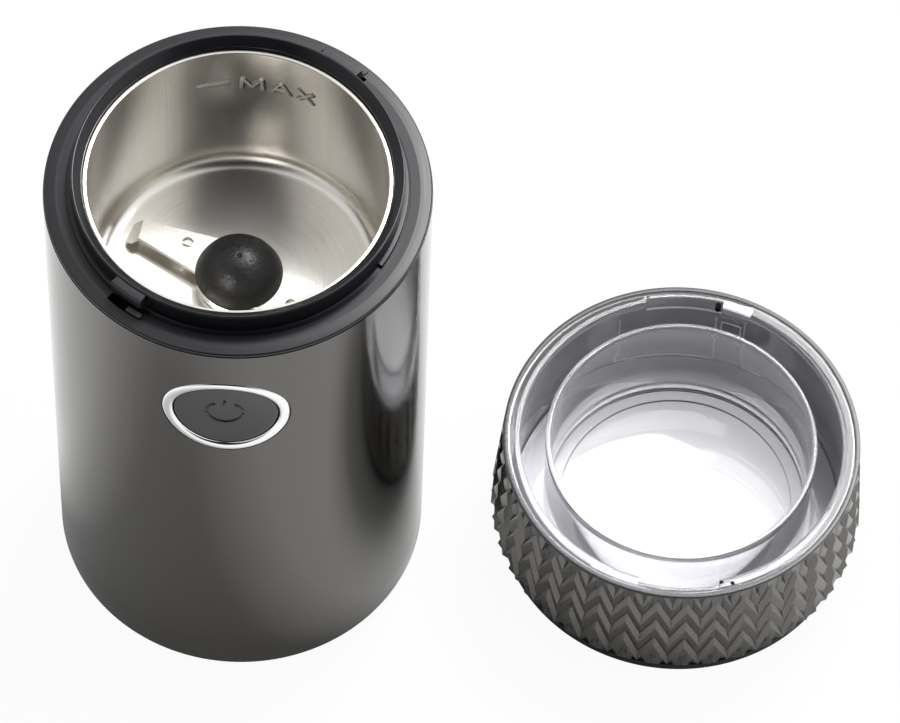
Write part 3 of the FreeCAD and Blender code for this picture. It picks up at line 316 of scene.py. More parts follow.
def plain(name, color, rough, metal=0.0, scale=900.0, spread=0.06, rough_spread=0.04, bump=0.15, depth=0.05,
          stretch=(1, 1, 1), specular=0.5):
    """Plastic, rubber, paint or metal with a fine even grain."""
    finish, nodes, links, shader = new_material(name)
    shader.inputs["Metallic"].default_value = metal
    shader.inputs["Specular IOR Level"].default_value = specular
    noise = grain_node(nodes, links, scale, stretch)
    shade(nodes, links, shader, noise, color, spread, rough, rough_spread, bump, depth)
    return finish


def brushed(name, color, rough, across=2500.0, along=2.0, spread=0.05, rough_spread=0.05, bump=0.2,
            depth=0.02, anisotropy=0.5, wall=None):
    """Metal brushed or turned in circles round the vertical axis."""
    finish, nodes, links, shader = new_material(name)
    shader.inputs["Metallic"].default_value = 1.0
    shader.inputs["Anisotropic"].default_value = anisotropy
    shader.inputs["Anisotropic Rotation"].default_value = 0.25
    way = add_node(nodes, "Tangent", direction_type="RADIAL", axis="Z")
    links.new(way.outputs["Tangent"], shader.inputs["Tangent"])
    noise = round_grain(nodes, links, across, along, wall)
    shade(nodes, links, shader, noise, color, spread, rough, rough_spread, bump, depth)
    return finish


def turned(name, color, rough, specular):
    """Plastic with the fine circles of a turned mould round the vertical axis."""
    finish, nodes, links, shader = new_material(name)
    shader.inputs["Specular IOR Level"].default_value = specular
    shade(nodes, links, shader, round_grain(nodes, links, 1600.0, 1.5), color, 0.15, rough, 0.04, 0.1, 0.03)
    return finish


def clear(name, tint, rough, ior, through_share=0.92):
    """Clear moulded plastic, which lets light through to what stands behind it."""
    finish, nodes, links, shader = new_material(name)
    shader.inputs["Transmission Weight"].default_value = through_share
    shader.inputs["IOR"].default_value = ior
    noise = grain_node(nodes, links, 60.0)
    shade(nodes, links, shader, noise, tint, 0.01, rough, 0.01, 0.02, 0.05)
    through = add_node(nodes, "BsdfTransparent")
    through.inputs["Color"].default_value = (0.93, 0.93, 0.93, 1)
    path = add_node(nodes, "LightPath")
    mix = add_node(nodes, "MixShader")
    links.new(path.outputs["Is Shadow Ray"], mix.inputs["Fac"])
    links.new(shader.outputs["BSDF"], mix.inputs[1])
    links.new(through.outputs["BSDF"], mix.inputs[2])
    links.new(mix.outputs["Shader"], nodes["Material Output"].inputs["Surface"])
    return finish


casing_paint = plain("casing paint", (0.121, 0.117, 0.11), 0.11, metal=1.0, scale=2600.0, spread=0.04,
                     rough_spread=0.02, bump=0.02, depth=0.01)
black_plastic = plain("black plastic", (0.012, 0.012, 0.015), 0.32, scale=1500.0, bump=0.1, depth=0.03)
black_turned = turned("black plastic, turned", (0.012, 0.012, 0.016), 0.33, 0.42)
lip_plastic = plain("lip plastic", (0.01, 0.01, 0.013), 0.2, scale=1500.0, rough_spread=0.02, bump=0.05,
                    depth=0.02, specular=0.32)
cup_steel = brushed("cup steel", (0.82, 0.795, 0.75), 0.23, across=1500.0, along=1.0, spread=0.03,
                    rough_spread=0.008, bump=0.0, anisotropy=0.75, wall=33.8)
# Darker steel for the strips set just under the cup's raised marks: painted shade along their lower edges.
mark_painted_shade = plain("mark painted shade", (0.2, 0.19, 0.17), 0.4, metal=1.0, scale=1500.0, bump=0.05, depth=0.02)
# Rougher steel for the raised marks, also lighter than the cup steel as a painted highlight on their faces.
mark_steel_painted_highlight = plain("mark steel, painted highlight", (0.9, 0.88, 0.83), 0.42, metal=1.0, scale=1500.0, bump=0.05, depth=0.02)
chrome = plain("chrome trim", (0.97, 0.97, 0.97), 0.06, metal=1.0, scale=300.0, spread=0.01,
               rough_spread=0.02, bump=0.0)
button_plastic = plain("button plastic", (0.045, 0.045, 0.047), 0.34, scale=2200.0, bump=0.12, depth=0.02)
symbol_plastic = plain("button symbol", (0.02, 0.02, 0.021), 0.3, scale=2200.0, bump=0.1, depth=0.02)
knob_plastic = plain("knob plastic", (0.012, 0.012, 0.013), 0.4, scale=1100.0, spread=0.3, rough_spread=0.1,
                     bump=0.8, depth=0.15, specular=0.35)
blade_steel = plain("blade steel", (0.94, 0.91, 0.86), 0.4, metal=0.6, scale=1500.0, spread=0.06, bump=0.1,
                    depth=0.03)
hub_steel = brushed("hub steel", (0.78, 0.77, 0.75), 0.2, anisotropy=0.3)
plunger_plastic = plain("plunger plastic", (0.13, 0.13, 0.135), 0.35, scale=1200.0)
grip_plastic = plain("grip plastic", (0.15, 0.145, 0.138), 0.25, metal=0.9, scale=2400.0, spread=0.06,
                     bump=0.06, depth=0.02)
rim_plastic = plain("rim plastic", (0.02, 0.019, 0.022), 0.28, scale=1800.0)
lining_plastic = plain("grip lining", (0.2, 0.2, 0.21), 0.5, scale=900.0)
backing_plastic = plain("pale backing", (0.55, 0.55, 0.57), 0.5, scale=900.0)
# Near-black for the plugs that fill the lid's pin holes: painted shade.
painted_hole_shade = plain("painted hole shade", (0.004, 0.004, 0.004), 0.8, scale=1500.0, specular=0.1)
trim_plastic = plain("trim plastic", (0.02, 0.02, 0.02), 0.3, scale=1500.0)
clear_plastic = clear("clear plastic", (0.95, 0.95, 0.975), 0.03, 1.36)
frosted = clear("frosted plastic", (0.99, 0.99, 1.0), 0.3, 1.36, 0.55)
rubber = plain("feet rubber", (0.03, 0.03, 0.03), 0.75, scale=900.0, spread=0.2, bump=0.4, depth=0.1)
seal_rubber = plain("seal rubber", (0.05, 0.05, 0.05), 0.6, scale=900.0, spread=0.1, bump=0.3, depth=0.05)
base_plastic = plain("base plastic", (0.03, 0.03, 0.032), 0.55, scale=700.0, spread=0.15, bump=0.3,
                     depth=0.08)
chassis_plastic = plain("chassis plastic", (0.06, 0.06, 0.06), 0.5, scale=800.0)
steel = plain("bright steel", (0.6, 0.6, 0.61), 0.25, metal=1.0, scale=1200.0, spread=0.05, bump=0.1,
              depth=0.02)
ground_steel = brushed("ground steel", (0.6, 0.6, 0.62), 0.2)
cast_metal = plain("cast metal", (0.6, 0.6, 0.62), 0.45, metal=1.0, scale=700.0, spread=0.1, bump=0.4,
                   depth=0.08)
stack_steel = plain("stack steel", (0.3, 0.3, 0.31), 0.4, metal=1.0, scale=300.0, stretch=(1, 1, 30),
                    spread=0.15)
copper = plain("copper wire", (0.75, 0.33, 0.14), 0.3, metal=1.0, scale=300.0, stretch=(1, 1, 10),
               spread=0.15)
brass = plain("brass", (0.78, 0.58, 0.26), 0.3, metal=1.0, scale=900.0)
carbon = plain("carbon", (0.03, 0.03, 0.032), 0.6, scale=1200.0, spread=0.2)
board_plastic = plain("board plastic", (0.02, 0.13, 0.05), 0.4, scale=900.0)
pale_plastic = plain("pale plastic", (0.68, 0.66, 0.6), 0.45, scale=800.0)
lead_cover = plain("lead cover", (0.03, 0.06, 0.3), 0.45, scale=900.0)

SLOT_FINISH = {
    "casing_paint": casing_paint, "black_plastic": black_turned, "cup_steel": cup_steel,
    "chrome_trim": chrome, "button_plastic": button_plastic, "plunger_plastic": plunger_plastic,
    "seal_rubber": seal_rubber, "feet_rubber": rubber, "gland_rubber": rubber,
    "base_plastic": base_plastic, "chassis_plastic": chassis_plastic, "switch_plastic": black_plastic,
    "board_plastic": board_plastic, "terminal_plastic": pale_plastic, "lead_cover": lead_cover,
    "screw_steel": steel, "spring_steel": steel, "shaft_steel": ground_steel, "bearing_steel": ground_steel,
    "bracket_metal": cast_metal, "bracket_plastic": pale_plastic, "fan_plastic": pale_plastic,
    "stack_steel": stack_steel, "copper_wire": copper, "commutator_metal": copper,
    "holder_brass": brass, "carbon": carbon,
    "hub_steel": hub_steel, "blade_steel": blade_steel, "knob_plastic": knob_plastic,
    "grip_plastic": grip_plastic, "trim_plastic": trim_plastic, "clear_plastic": clear_plastic,
}
for part in frame["record"]["subparts"]:
    node = frame["nodes"][part["node"]]
    node.data.materials.clear()
    node.data.materials.append(SLOT_FINISH[part["material_slot"]])


# The base: casing, button, collar, plunger, cup and blade


# Round the button's hole the casing has a square grid, to this angle and height on each side.
GRID_ANGLE = 29.0
GRID_HALF = 22.0
GRID_CELLS = 28
OUTER_COLUMNS = 150
HOLE_RINGS = 5


class Net:
    """Points of the casing's mesh, each made once, and its faces."""

    def __init__(self):
        self.points = []
        self.faces = []
        self.index = {}

    def point(self, radius, angle, z):
        """The number of the point at a radius, a direction from the front and a height."""
        key = (round(radius, 3), round(angle, 4), round(z, 4))
        if key not in self.index:
            self.index[key] = len(self.points)
            turn = math.radians(angle)
            self.points.append((radius * math.sin(turn), -radius * math.cos(turn), z))
        return self.index[key]

    def cell(self, lower, upper, a, b):
        """A face between two places (radius, height) and two directions."""
        self.faces.append((self.point(lower[0], a, lower[1]), self.point(lower[0], b, lower[1]),
                           self.point(upper[0], b, upper[1]), self.point(upper[0], a, upper[1])))

    def join(self, first, second):
        """Faces between two closed rows of points."""
        for i in range(len(first)):
            k = (i + 1) % len(first)
            self.faces.append((first[i], first[k], second[k], second[i]))


def hole_edge(net, border, radius):
    """Close in from the border of the grid to the button's round hole, and give the hole's edge."""
    edge = [net.point(radius, angle, z) for angle, z in border]
    for step in range(1, HOLE_RINGS + 1):
        row = []
        for angle, z in border:
            x = CASING_R * math.sin(math.radians(angle))
            direction = math.atan2(z - BUTTON_Z, x)
            far = math.hypot(x, z - BUTTON_Z)
            reach = far + (BUTTON_HOLE_R - far) * step / HOLE_RINGS
            x = reach * math.cos(direction)
            row.append(len(net.points))
            net.points.append((x, -math.sqrt(radius ** 2 - x ** 2), BUTTON_Z + reach * math.sin(direction)))
        net.join(edge, row)
        edge = row
    return edge


def casing():
    """The sleeve's outer and inner faces with the button's hole, joined at the rims."""
    low, high = BUTTON_Z - GRID_HALF, BUTTON_Z + GRID_HALF
    angles = [-GRID_ANGLE + 2 * GRID_ANGLE * i / GRID_CELLS for i in range(GRID_CELLS + 1)]
    rest = 360.0 - 2 * GRID_ANGLE
    angles += [GRID_ANGLE + rest * i / OUTER_COLUMNS for i in range(1, OUTER_COLUMNS)]
    middle = [low + 2 * GRID_HALF * i / GRID_CELLS for i in range(GRID_CELLS + 1)]
    border = [(angles[i], low) for i in range(GRID_CELLS)]
    border += [(angles[GRID_CELLS], middle[i]) for i in range(GRID_CELLS)]
    border += [(angles[i], high) for i in range(GRID_CELLS, 0, -1)]
    border += [(angles[0], middle[i]) for i in range(GRID_CELLS, 0, -1)]
    foot = rounded([(CASING_INNER_R, CASING_LOW), (CASING_R, CASING_LOW, 0.9), (CASING_R, 60.0)])[1:-1]
    net = Net()
    edges = []
    for radius, start in ((CASING_R, foot[-1][1]), (CASING_INNER_R, CASING_LOW)):
        rows = [start + (low - start) * i / 12 for i in range(12)] + middle
        rows += [high + (CASING_TOP - high) * i / 2 for i in (1, 2)]
        for lower, upper in zip(rows, rows[1:]):
            in_rows = low - 1e-6 <= lower and upper <= high + 1e-6
            for j, angle in enumerate(angles):
                if not (in_rows and j < GRID_CELLS):
                    net.cell((radius, lower), (radius, upper), angle, angles[(j + 1) % len(angles)])
        edges.append(hole_edge(net, border, radius))
    net.join(*edges)
    chain = [(CASING_INNER_R, CASING_LOW)] + foot
    for j, angle in enumerate(angles):
        after = angles[(j + 1) % len(angles)]
        net.cell((CASING_R, CASING_TOP), (CASING_INNER_R, CASING_TOP), angle, after)
        for lower, upper in zip(chain, chain[1:]):
            net.cell(lower, upper, angle, after)
    thing = make("casing", net.points, net.faces, casing_paint, "base")
    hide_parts("outer_casing")


def about_button(name, section_at, closed, finish, body, count=160):
    """A piece from a section (reach, depth) that is carried round the button's axis."""
    points = []
    for i in range(count):
        swing = 2 * math.pi * i / count
        for reach, y in section_at(math.cos(swing)):
            points.append((reach * math.cos(swing), y, BUTTON_Z + reach * math.sin(swing)))
    faces = side_faces(count, len(points) // count, closed=closed)
    return make(name, points, faces, finish, body, sharp=50.0)


def bezel():
    """The chrome ring round the button, whose front follows the casing."""
    back = -CASING_R + 4.6
    front = [(14.9, -0.25), (14.75, 0.02), (14.4, 0.16), (13.6, 0.2), (12.85, 0.12), (12.5, -0.1),
             (12.35, -0.5)]

    def section_at(side):
        section = [(front[0][0], back)]
        for reach, proud in front:
            section.append((reach, -math.sqrt((CASING_R + proud) ** 2 - (reach * side) ** 2)))
        return section + [(front[-1][0], back)]

    trim = about_button("bezel", section_at, True, chrome, "base")
    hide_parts("button_bezel")


BUTTON_FACE_R = 44.65
BUTTON_DISH = 1.1
SYMBOL_R = 4.25
SYMBOL_SHIFT = 0.25


def face_y(x, reach):
    """The depth of the button's face: level with the casing at its edge and dished in the middle."""
    return -math.sqrt(BUTTON_FACE_R ** 2 - x ** 2) + BUTTON_DISH * max(0.0, 1 - (reach / BUTTON_R) ** 2)


def symbol_point(x, rise):
    """A place on the button's face for the symbol, which stands a little to the left."""
    x -= SYMBOL_SHIFT
    return x, face_y(x, math.hypot(x, rise)), BUTTON_Z + rise


def button():
    """The dished button with its raised power symbol."""
    reaches = [BUTTON_R * i / 14 for i in range(14)] + [11.85, 12.03, BUTTON_R]
    sinks = [0.0] * 15 + [0.12, 0.35]
    back = [(BUTTON_R, -39.55), (10.9, -39.55), (10.9, -42.15), (0.0, -42.15)]

    def section_at(side):
        return [(reach, face_y(reach * side, reach) + sink) for reach, sink in zip(reaches, sinks)] + back

    cap = about_button("button_cap", section_at, False, button_plastic, "button")
    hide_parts("power_button")
    arc = []
    for i in range(41):
        swing = math.radians(125 + 290 * i / 40)
        arc.append(symbol_point(SYMBOL_R * math.cos(swing), SYMBOL_R * math.sin(swing)))
    dash = [symbol_point(0.0, rise) for rise in (3.0, 3.7, 4.4, 5.1)]
    for name, path in (("symbol_arc", arc), ("symbol_dash", dash)):
        bar(name, path, 0.34, symbol_plastic, "button")


def collar():
    """Flange with its slots, the lip, the bayonet lugs, the low ribs and two ticks."""
    slot_in, slot_out = 39.9, 42.1
    inner = rounded([(35.5, FLANGE_LOW), (35.5, 153.2, 0.15), (35.9, 153.2), (35.92, 154.2),
                     (36.05, 155.3, 0.6), (37.95, LIP_Z, 0.5), (38.5, LIP_Z, 0.25), (38.5, FLANGE_Z, 0.35),
                     (slot_in, FLANGE_Z), (slot_in, FLANGE_LOW)])
    outer = rounded([(slot_out, FLANGE_LOW), (slot_out, FLANGE_Z), (44.85, 150.78, 0.4),
                     (44.85, FLANGE_LOW, 0.15)])
    skirt = [(38.2, 142.8), (38.2, FLANGE_LOW), (39.8, FLANGE_LOW), (39.8, 142.8)]
    bridge = [(slot_in, FLANGE_LOW), (slot_in, FLANGE_Z), (slot_out, FLANGE_Z), (slot_out, FLANGE_LOW)]
    lug = rounded([(38.2, 153.5), (38.2, 156.6), (40.7, 156.6, 0.35), (40.7, 153.5, 0.2)])
    rib = rounded([(38.3, 150.9), (38.3, 151.9), (39.5, 151.9, 0.25), (39.5, 150.9)])
    tick = rounded([(42.3, 150.9), (42.3, 151.22, 0.1), (43.8, 151.22, 0.1), (43.8, 150.9)])
    pieces = [ring("collar_lip", inner, lip_plastic, "base"),
              ring("collar_flange", outer, black_turned, "base"),
              ring("collar_skirt", skirt, black_plastic, "base", count=128)]
    bridge_start = LUG_SPAN + 0.8
    for side in (0, 180):
        start = LUG_START + side
        pieces.append(ring(f"collar_bridge_{side}", bridge, black_turned, "base", count=96,
                           start=start + bridge_start, span=180 - bridge_start))
        block = ring(f"collar_lug_{side}", lug, black_turned, "base", count=12, start=start, span=LUG_SPAN)
        pieces.append(soften(block, 0.2))
        pieces.append(ring(f"collar_rib_{side}", rib, black_turned, "base", count=60, start=start - 78,
                           span=77))
    for turn in (50.1, 65.9):
        pieces.append(ring(f"collar_tick_{turn}", tick, black_turned, "base", count=2, start=turn,
                           span=0.7))
    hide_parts("top_collar")


def plunger():
    """The small lever that shows in the slot under the first lug."""
    section = rounded([(40.1, 136.2), (40.1, 150.7, 0.2), (41.4, 150.7, 0.2), (41.4, 136.2)])
    lever = ring("plunger_blade", section, plunger_plastic, "interlock", count=8, start=235.6, span=5.6)
    soften(lever, 0.12)
    x, y = polar(40.75, 238.4)
    path = [(x, y, 126.6), (x, y, 131.0), (x, y, 136.4)]
    stem = bar("plunger_stem", path, 0.6, plunger_plastic, "interlock")
    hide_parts("interlock_plunger")


def cup():
    """The steel cup with its rolled rim."""
    corners = [(8.0, 108.4), (35.4, 108.4, 4.7), (35.4, 153.3, 0.05), (35.8, 153.3, 0.2),
               (35.8, 154.2, 0.2), (CUP_R, 154.2, 0.25), (CUP_R, 109.0, 4.1), (8.0, 109.0)]
    outline = rounded(corners, steps=10)
    vessel = ring("cup", outline, cup_steel, "base", count=360)
    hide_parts("grinding_cup")


def stroke(name, start, end, width=0.95, height=0.5, finish=mark_steel_painted_highlight, shift=(0.0, 0.0)):
    """A raised flat-topped line on the cup's wall between two places (angle, height)."""
    start = (start[0] + shift[0], start[1] + shift[1])
    end = (end[0] + shift[0], end[1] + shift[1])
    section = ((-0.5, -0.1), (-0.26, height), (0.26, height), (0.5, -0.1))
    steps = 6
    points = []
    faces = []
    run = Vector((math.radians(end[0] - start[0]) * CUP_R, end[1] - start[1])).normalized()
    for i in range(steps + 1):
        share = i / steps
        angle = start[0] + (end[0] - start[0]) * share
        inset = 0.22 * (1 if i == 0 else -1 if i == steps else 0)
        for side, lift in section:
            slide = inset if lift > 0 else 0.0
            along = run.x * slide - run.y * side * width
            rise = run.y * slide + run.x * side * width
            x, y = polar(CUP_R - lift, angle + math.degrees(along / CUP_R))
            points.append((x, y, start[1] + (end[1] - start[1]) * share + rise))
    for i in range(steps):
        for k in range(4):
            m = (k + 1) % 4
            faces.append((4 * i + k, 4 * i + m, 4 * i + 4 + m, 4 * i + 4 + k))
    faces.append((0, 1, 2, 3))
    faces.append(tuple(4 * steps + k for k in (3, 2, 1, 0)))
    make(name, points, faces, finish, "base", sharp=20.0)


def fill_mark():
    """The raised level line and letters on the cup's back wall, each with a darker steel strip just below
    it as painted shade.
    """
    line = ((110.4, 141.8), (97.2, 141.8))
    stroke("mark_line", *line, height=0.3)
    stroke("mark_line_painted_shade", *line, 1.2, 0.15, mark_painted_shade, (-0.3, -0.3))
    low, high = 139.6, 143.9
    letters = [
        ((92.8, low), (92.4, high)), ((92.4, high), (88.6, low + 0.8)), ((88.6, low + 0.8), (84.9, high)),
        ((84.9, high), (84.4, low)),
        ((80.9, low), (77.2, high)), ((77.2, high), (73.5, low)), ((79.6, low + 1.4), (74.8, low + 1.4)),
        ((70.4, high), (63.6, low)), ((63.6, high), (70.4, low)),
    ]
    for number, (a, b) in enumerate(letters):
        stroke(f"mark_stroke_{number}", a, b)
        stroke(f"mark_painted_shade_{number}", a, b, 1.2, 0.2, mark_painted_shade, (-0.75, -0.35))


BLADE_TOP = 113.0
BLADE_TURN = 148.8


def hub():
    """The metal hub under the blade."""
    outline = rounded([(3.1, 109.35), (9.9, 109.35, 0.3), (9.9, 111.8, 0.25), (3.1, 111.8)])
    thing = ring("hub", outline, hub_steel, "rotor", count=128)
    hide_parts("blade_hub")


def blade_top():
    """Points and faces of the blade's top, with its two holes and its bent tips."""
    arm = [(8.0, -5.6), (26.9, 0.9), (25.1, 5.6), (8.0, 5.6)]
    tip = [(26.9, 0.9), (28.9, 1.9), (28.0, 6.9), (25.9, 7.2), (25.1, 5.6)]
    loops = [[arm[1], arm[2], arm[3]] + [(-x, -y) for x, y in arm] + [arm[0]]]
    for side in (1, -1):
        loops.append([(side * 14.85 + 1.4 * math.cos(k * math.pi / 12), 1.4 * math.sin(k * math.pi / 12))
                      for k in range(24)])
    loops = [[Vector((x, y, 0)) for x, y in loop] for loop in loops]
    turn = Matrix.Rotation(math.radians(BLADE_TURN), 4, "Z")
    points = [turn @ (point + Vector((0, 0, BLADE_TOP))) for loop in loops for point in loop]
    faces = [tuple(face) for face in tessellate_polygon(loops)]
    slope = math.tan(math.radians(42.0))
    across_fold = Vector((math.cos(math.radians(20.96)), math.sin(math.radians(20.96))))
    for side in (1, -1):
        faces.append(tuple(range(len(points), len(points) + len(tip))))
        for x, y in tip:
            drop = max(0.0, (Vector((x, y)) - Vector(tip[0])).dot(across_fold)) * slope
            points.append(turn @ Vector((side * x, side * y, BLADE_TOP - drop)))
    return points, faces


def blade():
    """The two-armed blade, ground thin at its tips."""
    thick, ground_edge = 1.2, 0.3
    points, faces = blade_top()
    plate = make("blade", points, faces, blade_steel, "rotor", sharp=20.0, merge=0.01)
    work = bmesh.new()
    work.from_mesh(plate.data)
    if sum(face.normal.z for face in work.faces) < 0:
        bmesh.ops.reverse_faces(work, faces=work.faces)
    under = bmesh.ops.extrude_face_region(work, geom=work.faces[:], use_keep_orig=True)
    for item in under["geom"]:
        if isinstance(item, bmesh.types.BMVert):
            item.co.z -= (thick if item.co.z > (BLADE_TOP - 0.05) * MM else ground_edge) * MM
    bmesh.ops.recalc_face_normals(work, faces=work.faces)
    work.to_mesh(plate.data)
    work.free()
    plate.data.set_sharp_from_angle(angle=math.radians(20.0))
    soften(plate, 0.1, segments=2, angle=30.0)
    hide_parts("blade")


def knob():
    """The domed knob with a dimple on top."""
    reach, height, top = 10.35, 8.1, 121.1
    radius = (reach ** 2 + height ** 2) / (2 * height)
    middle = top - radius
    start = math.asin((113.6 - middle) / radius)
    end = math.pi / 2 - 0.055
    dome = [(10.0, BLADE_TOP), (10.25, 113.08), (10.36, 113.3)]
    for i in range(31):
        swing = start + (end - start) * i / 30
        dome.append((radius * math.cos(swing), middle + radius * math.sin(swing)))
    dome += [(0.5, 121.02), (0.35, 120.8), (0.0, 120.7), (0.0, 118.0), (3.1, 117.8), (3.1, BLADE_TOP)]
    thing = ring("knob", dome, knob_plastic, "rotor", count=128, sharp=45.0)
    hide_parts("blade_knob")


# The lid


def band_radius(height):
    """The plain outer radius of the lid's grip band."""
    places = [(2.9, 43.6), (7.0, 45.9), (7.76, 46.1), (8.6, 46.05), (38.56, 43.96)]
    for (z0, r0), (z1, r1) in zip(places, places[1:]):
        if height <= z1:
            return r0 + (r1 - r0) * (height - z0) / (z1 - z0)
    return places[-1][1]


BAND_LOW = 3.0
BAND_HIGH = 37.3
BAND_BACK = 42.35
BAND_TOP = 37.65
TEETH = 38
TOOTH_COLUMNS = 12
ZIGZAG_START = 259.9
ZIGZAG_PITCH = 8.1
ZIGZAG_SWING = 7.7
ZIGZAG_LIFT = 3.65
RELIEF = 0.9


def band_section(column):
    """The grip band's section at one of its columns, where the relief's edges follow the zigzag."""
    saw = (column % TOOTH_COLUMNS) / TOOTH_COLUMNS
    lift = ZIGZAG_SWING * (1 - abs(1 - 2 * saw)) - ZIGZAG_SWING / 2 + ZIGZAG_LIFT
    edges = [(BAND_LOW, 0.5)]
    for k in range(-3, 7):
        for where, depth in ((0.0, 0.0), (0.32, 1.0)):
            height = min(BAND_HIGH, max(BAND_LOW, (k + where) * ZIGZAG_PITCH + lift))
            edges.append((height, depth if BAND_LOW < height < BAND_HIGH else 0.5))
    edges.append((BAND_HIGH, 0.5))
    front = [(band_radius(height) - RELIEF * depth, height) for height, depth in edges]
    return [(BAND_BACK, BAND_LOW)] + front + [(42.9, BAND_HIGH), (42.9, BAND_TOP), (BAND_BACK, BAND_TOP)]


def grip_band():
    """The dark band round the lid with its zigzag relief."""
    columns = TEETH * TOOTH_COLUMNS
    points = []
    for i in range(columns):
        angle = ZIGZAG_START + 360.0 * i / columns
        points += [(*polar(radius, angle), height) for radius, height in band_section(i)]
    faces = side_faces(columns, len(points) // columns)
    band = make("grip_band", points, faces, grip_plastic, "lid", sharp=12.0, merge=0.002, centre=LID)
    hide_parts("lid_grip_band")


def lid_rings():
    """The lining inside the grip band, the flat rim above it, the pale backing and the trim ring."""
    lining = [(42.24, BAND_LOW), (42.34, BAND_LOW), (42.34, 37.6), (42.24, 37.6)]
    ring("grip_lining", lining, lining_plastic, "lid", centre=LID)
    rim = rounded([(42.8, BAND_TOP), (43.96, BAND_TOP, 0.15), (43.96, LID_TOP, 0.2), (42.8, LID_TOP, 0.1)])
    ring("grip_rim", rim, rim_plastic, "lid", centre=LID)
    floor = [(33.7, 5.75), (40.9, 5.75), (40.9, 5.87), (33.7, 5.87)]
    ring("trough_backing", floor, backing_plastic, "lid", centre=LID)
    foot = rounded([(39.5, 0.0, 0.2), (43.6, 0.0, 0.9), (43.6, 2.9, 0.2), (39.5, 2.9, 0.2)])
    trim = ring("trim_ring", foot, trim_plastic, "lid", centre=LID)
    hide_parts("lid_trim_ring")


LOCK_FRONT = 257.0
LOCK_GAP = 27.0
KEY_SPAN = 9.0


def lock_shape(angle):
    """Inner radius and underside height of the bayonet flange at an angle."""
    place = (angle - LOCK_FRONT) % 180.0
    if place < LOCK_GAP:
        return 40.95, 38.2
    if place > 180.0 - KEY_SPAN:
        return 39.65, 33.56
    ease = min(1.0, (place - LOCK_GAP) / 1.6)
    return 40.95 - 1.3 * math.sin(ease * math.pi / 2), 36.36


def clear_part():
    """The clear moulding: outer skirt with the bayonet flange, window and bowl in one."""

    def outline(angle):
        inner, under = lock_shape(angle)
        return rounded([
            (0.0, 5.9), (41.0, 5.9), (41.0, 2.95), (42.2, 2.95), (42.2, 37.75), (42.72, 37.75),
            (42.72, 38.54, 0.2), (inner, 38.54, 0.35), (inner, under, 0.25), (41.0, under, 0.25),
            (41.0, 7.5, 0.9), (33.1, 7.5, 1.0), (33.1, 35.36, 0.15), (33.45, 35.5, 0.15),
            (33.45, 38.5, 0.35), (32.15, 38.5, 0.35), (32.15, 7.5, 1.6), (30.1, 7.5, 0.3),
            (30.1, 8.5, 0.5), (28.9, 8.5, 0.5), (28.9, 7.5, 0.3), (0.0, 7.5),
        ], steps=4)

    angles = [360.0 * i / 288 for i in range(288)]
    for side in (0.0, 180.0):
        for edge in (LOCK_FRONT, LOCK_FRONT - KEY_SPAN):
            angles += [(edge + side - 0.12) % 360.0, (edge + side + 0.12) % 360.0]
        for step in (0.02, 0.2, 0.45, 0.8, 1.2, 1.6):
            angles.append((LOCK_FRONT + side + LOCK_GAP + step) % 360.0)
    angles = sorted(set(round(angle, 3) for angle in angles))
    angles.append(angles[0] + 360.0)
    moulding = swept("clear_moulding", outline, angles, clear_plastic, "lid", LID, True, sharp=40.0)
    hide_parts("lid_skirt", "lid_bowl")


SKIRT_WALL_R = 41.02


def wall_line(name, places, size):
    """A raised clear line on the skirt's inner wall through places (angle, height)."""
    path = []
    for (a0, z0), (a1, z1) in zip(places, places[1:]):
        path += [(a0 + (a1 - a0) * i / 10, z0 + (z1 - z0) * i / 10) for i in range(10)]
    path.append(places[-1])
    points = []
    for angle, height in path:
        x, y = polar(SKIRT_WALL_R, angle)
        points.append((x + LID[0], y + LID[1], height))
    line = bar(name, points, size, frosted, "lid", sides=8)


def pin_hole(name, reach, turn, radius, low, count):
    """A small hole in the flange, drawn as a solid black plug of painted shade."""
    x, y = polar(reach, turn)
    outline = [(0, low), (radius, low), (radius, LID_TOP), (0, LID_TOP)]
    hole = ring(name, outline, painted_hole_shade, "lid", centre=(LID[0] + x, LID[1] + y), count=count)


def lid_details():
    """Pin holes in the flange ends drawn as black plugs of painted shade, the key plates and the moulded
    lines on the skirt.
    """
    pin_hole("flange_hole_0", 40.6, 285.7, 0.5, 38.0, 16)
    pin_hole("flange_hole_1", 41.4, 289.3, 0.5, 38.0, 16)
    pin_hole("key_pin", 40.0, 78.7, 0.75, 36.5, 20)
    for side, start, span, inner in (("front", 240.0, 17.0, 40.3), ("back", 66.5, 10.5, 39.8)):
        block = rounded([(inner, 37.9), (41.9, 37.9), (41.9, LID_TOP, 0.2), (inner, LID_TOP, 0.2)])
        plate = ring(f"{side}_key_plate", block, frosted, "lid", centre=LID, count=12, start=start,
                     span=span)
    lines = (
        ("gap_rail", 0.35, [(257.4, 33.7), (283.8, 33.7)]),
        ("frame", 0.28, [(259.0, 31.0), (259.0, 7.9), (293.5, 7.9), (293.5, 31.0)]),
        ("key_line", 0.28, [(248.6, 32.5), (248.6, 7.9), (241.5, 7.9)]),
        ("key_bracket", 0.28, [(257.0, 24.0), (257.0, 29.5), (250.0, 29.5), (250.0, 24.0)]),
    )
    for side, shift in (("front", 0.0), ("back", 180.0)):
        for name, size, places in lines:
            wall_line(f"{side}_{name}", [(angle + shift, height) for angle, height in places], size)


casing()
bezel()
button()
collar()
plunger()
cup()
fill_mark()
hub()
blade()
knob()
grip_band()
lid_rings()
clear_part()
lid_details()


# Floor, light and camera


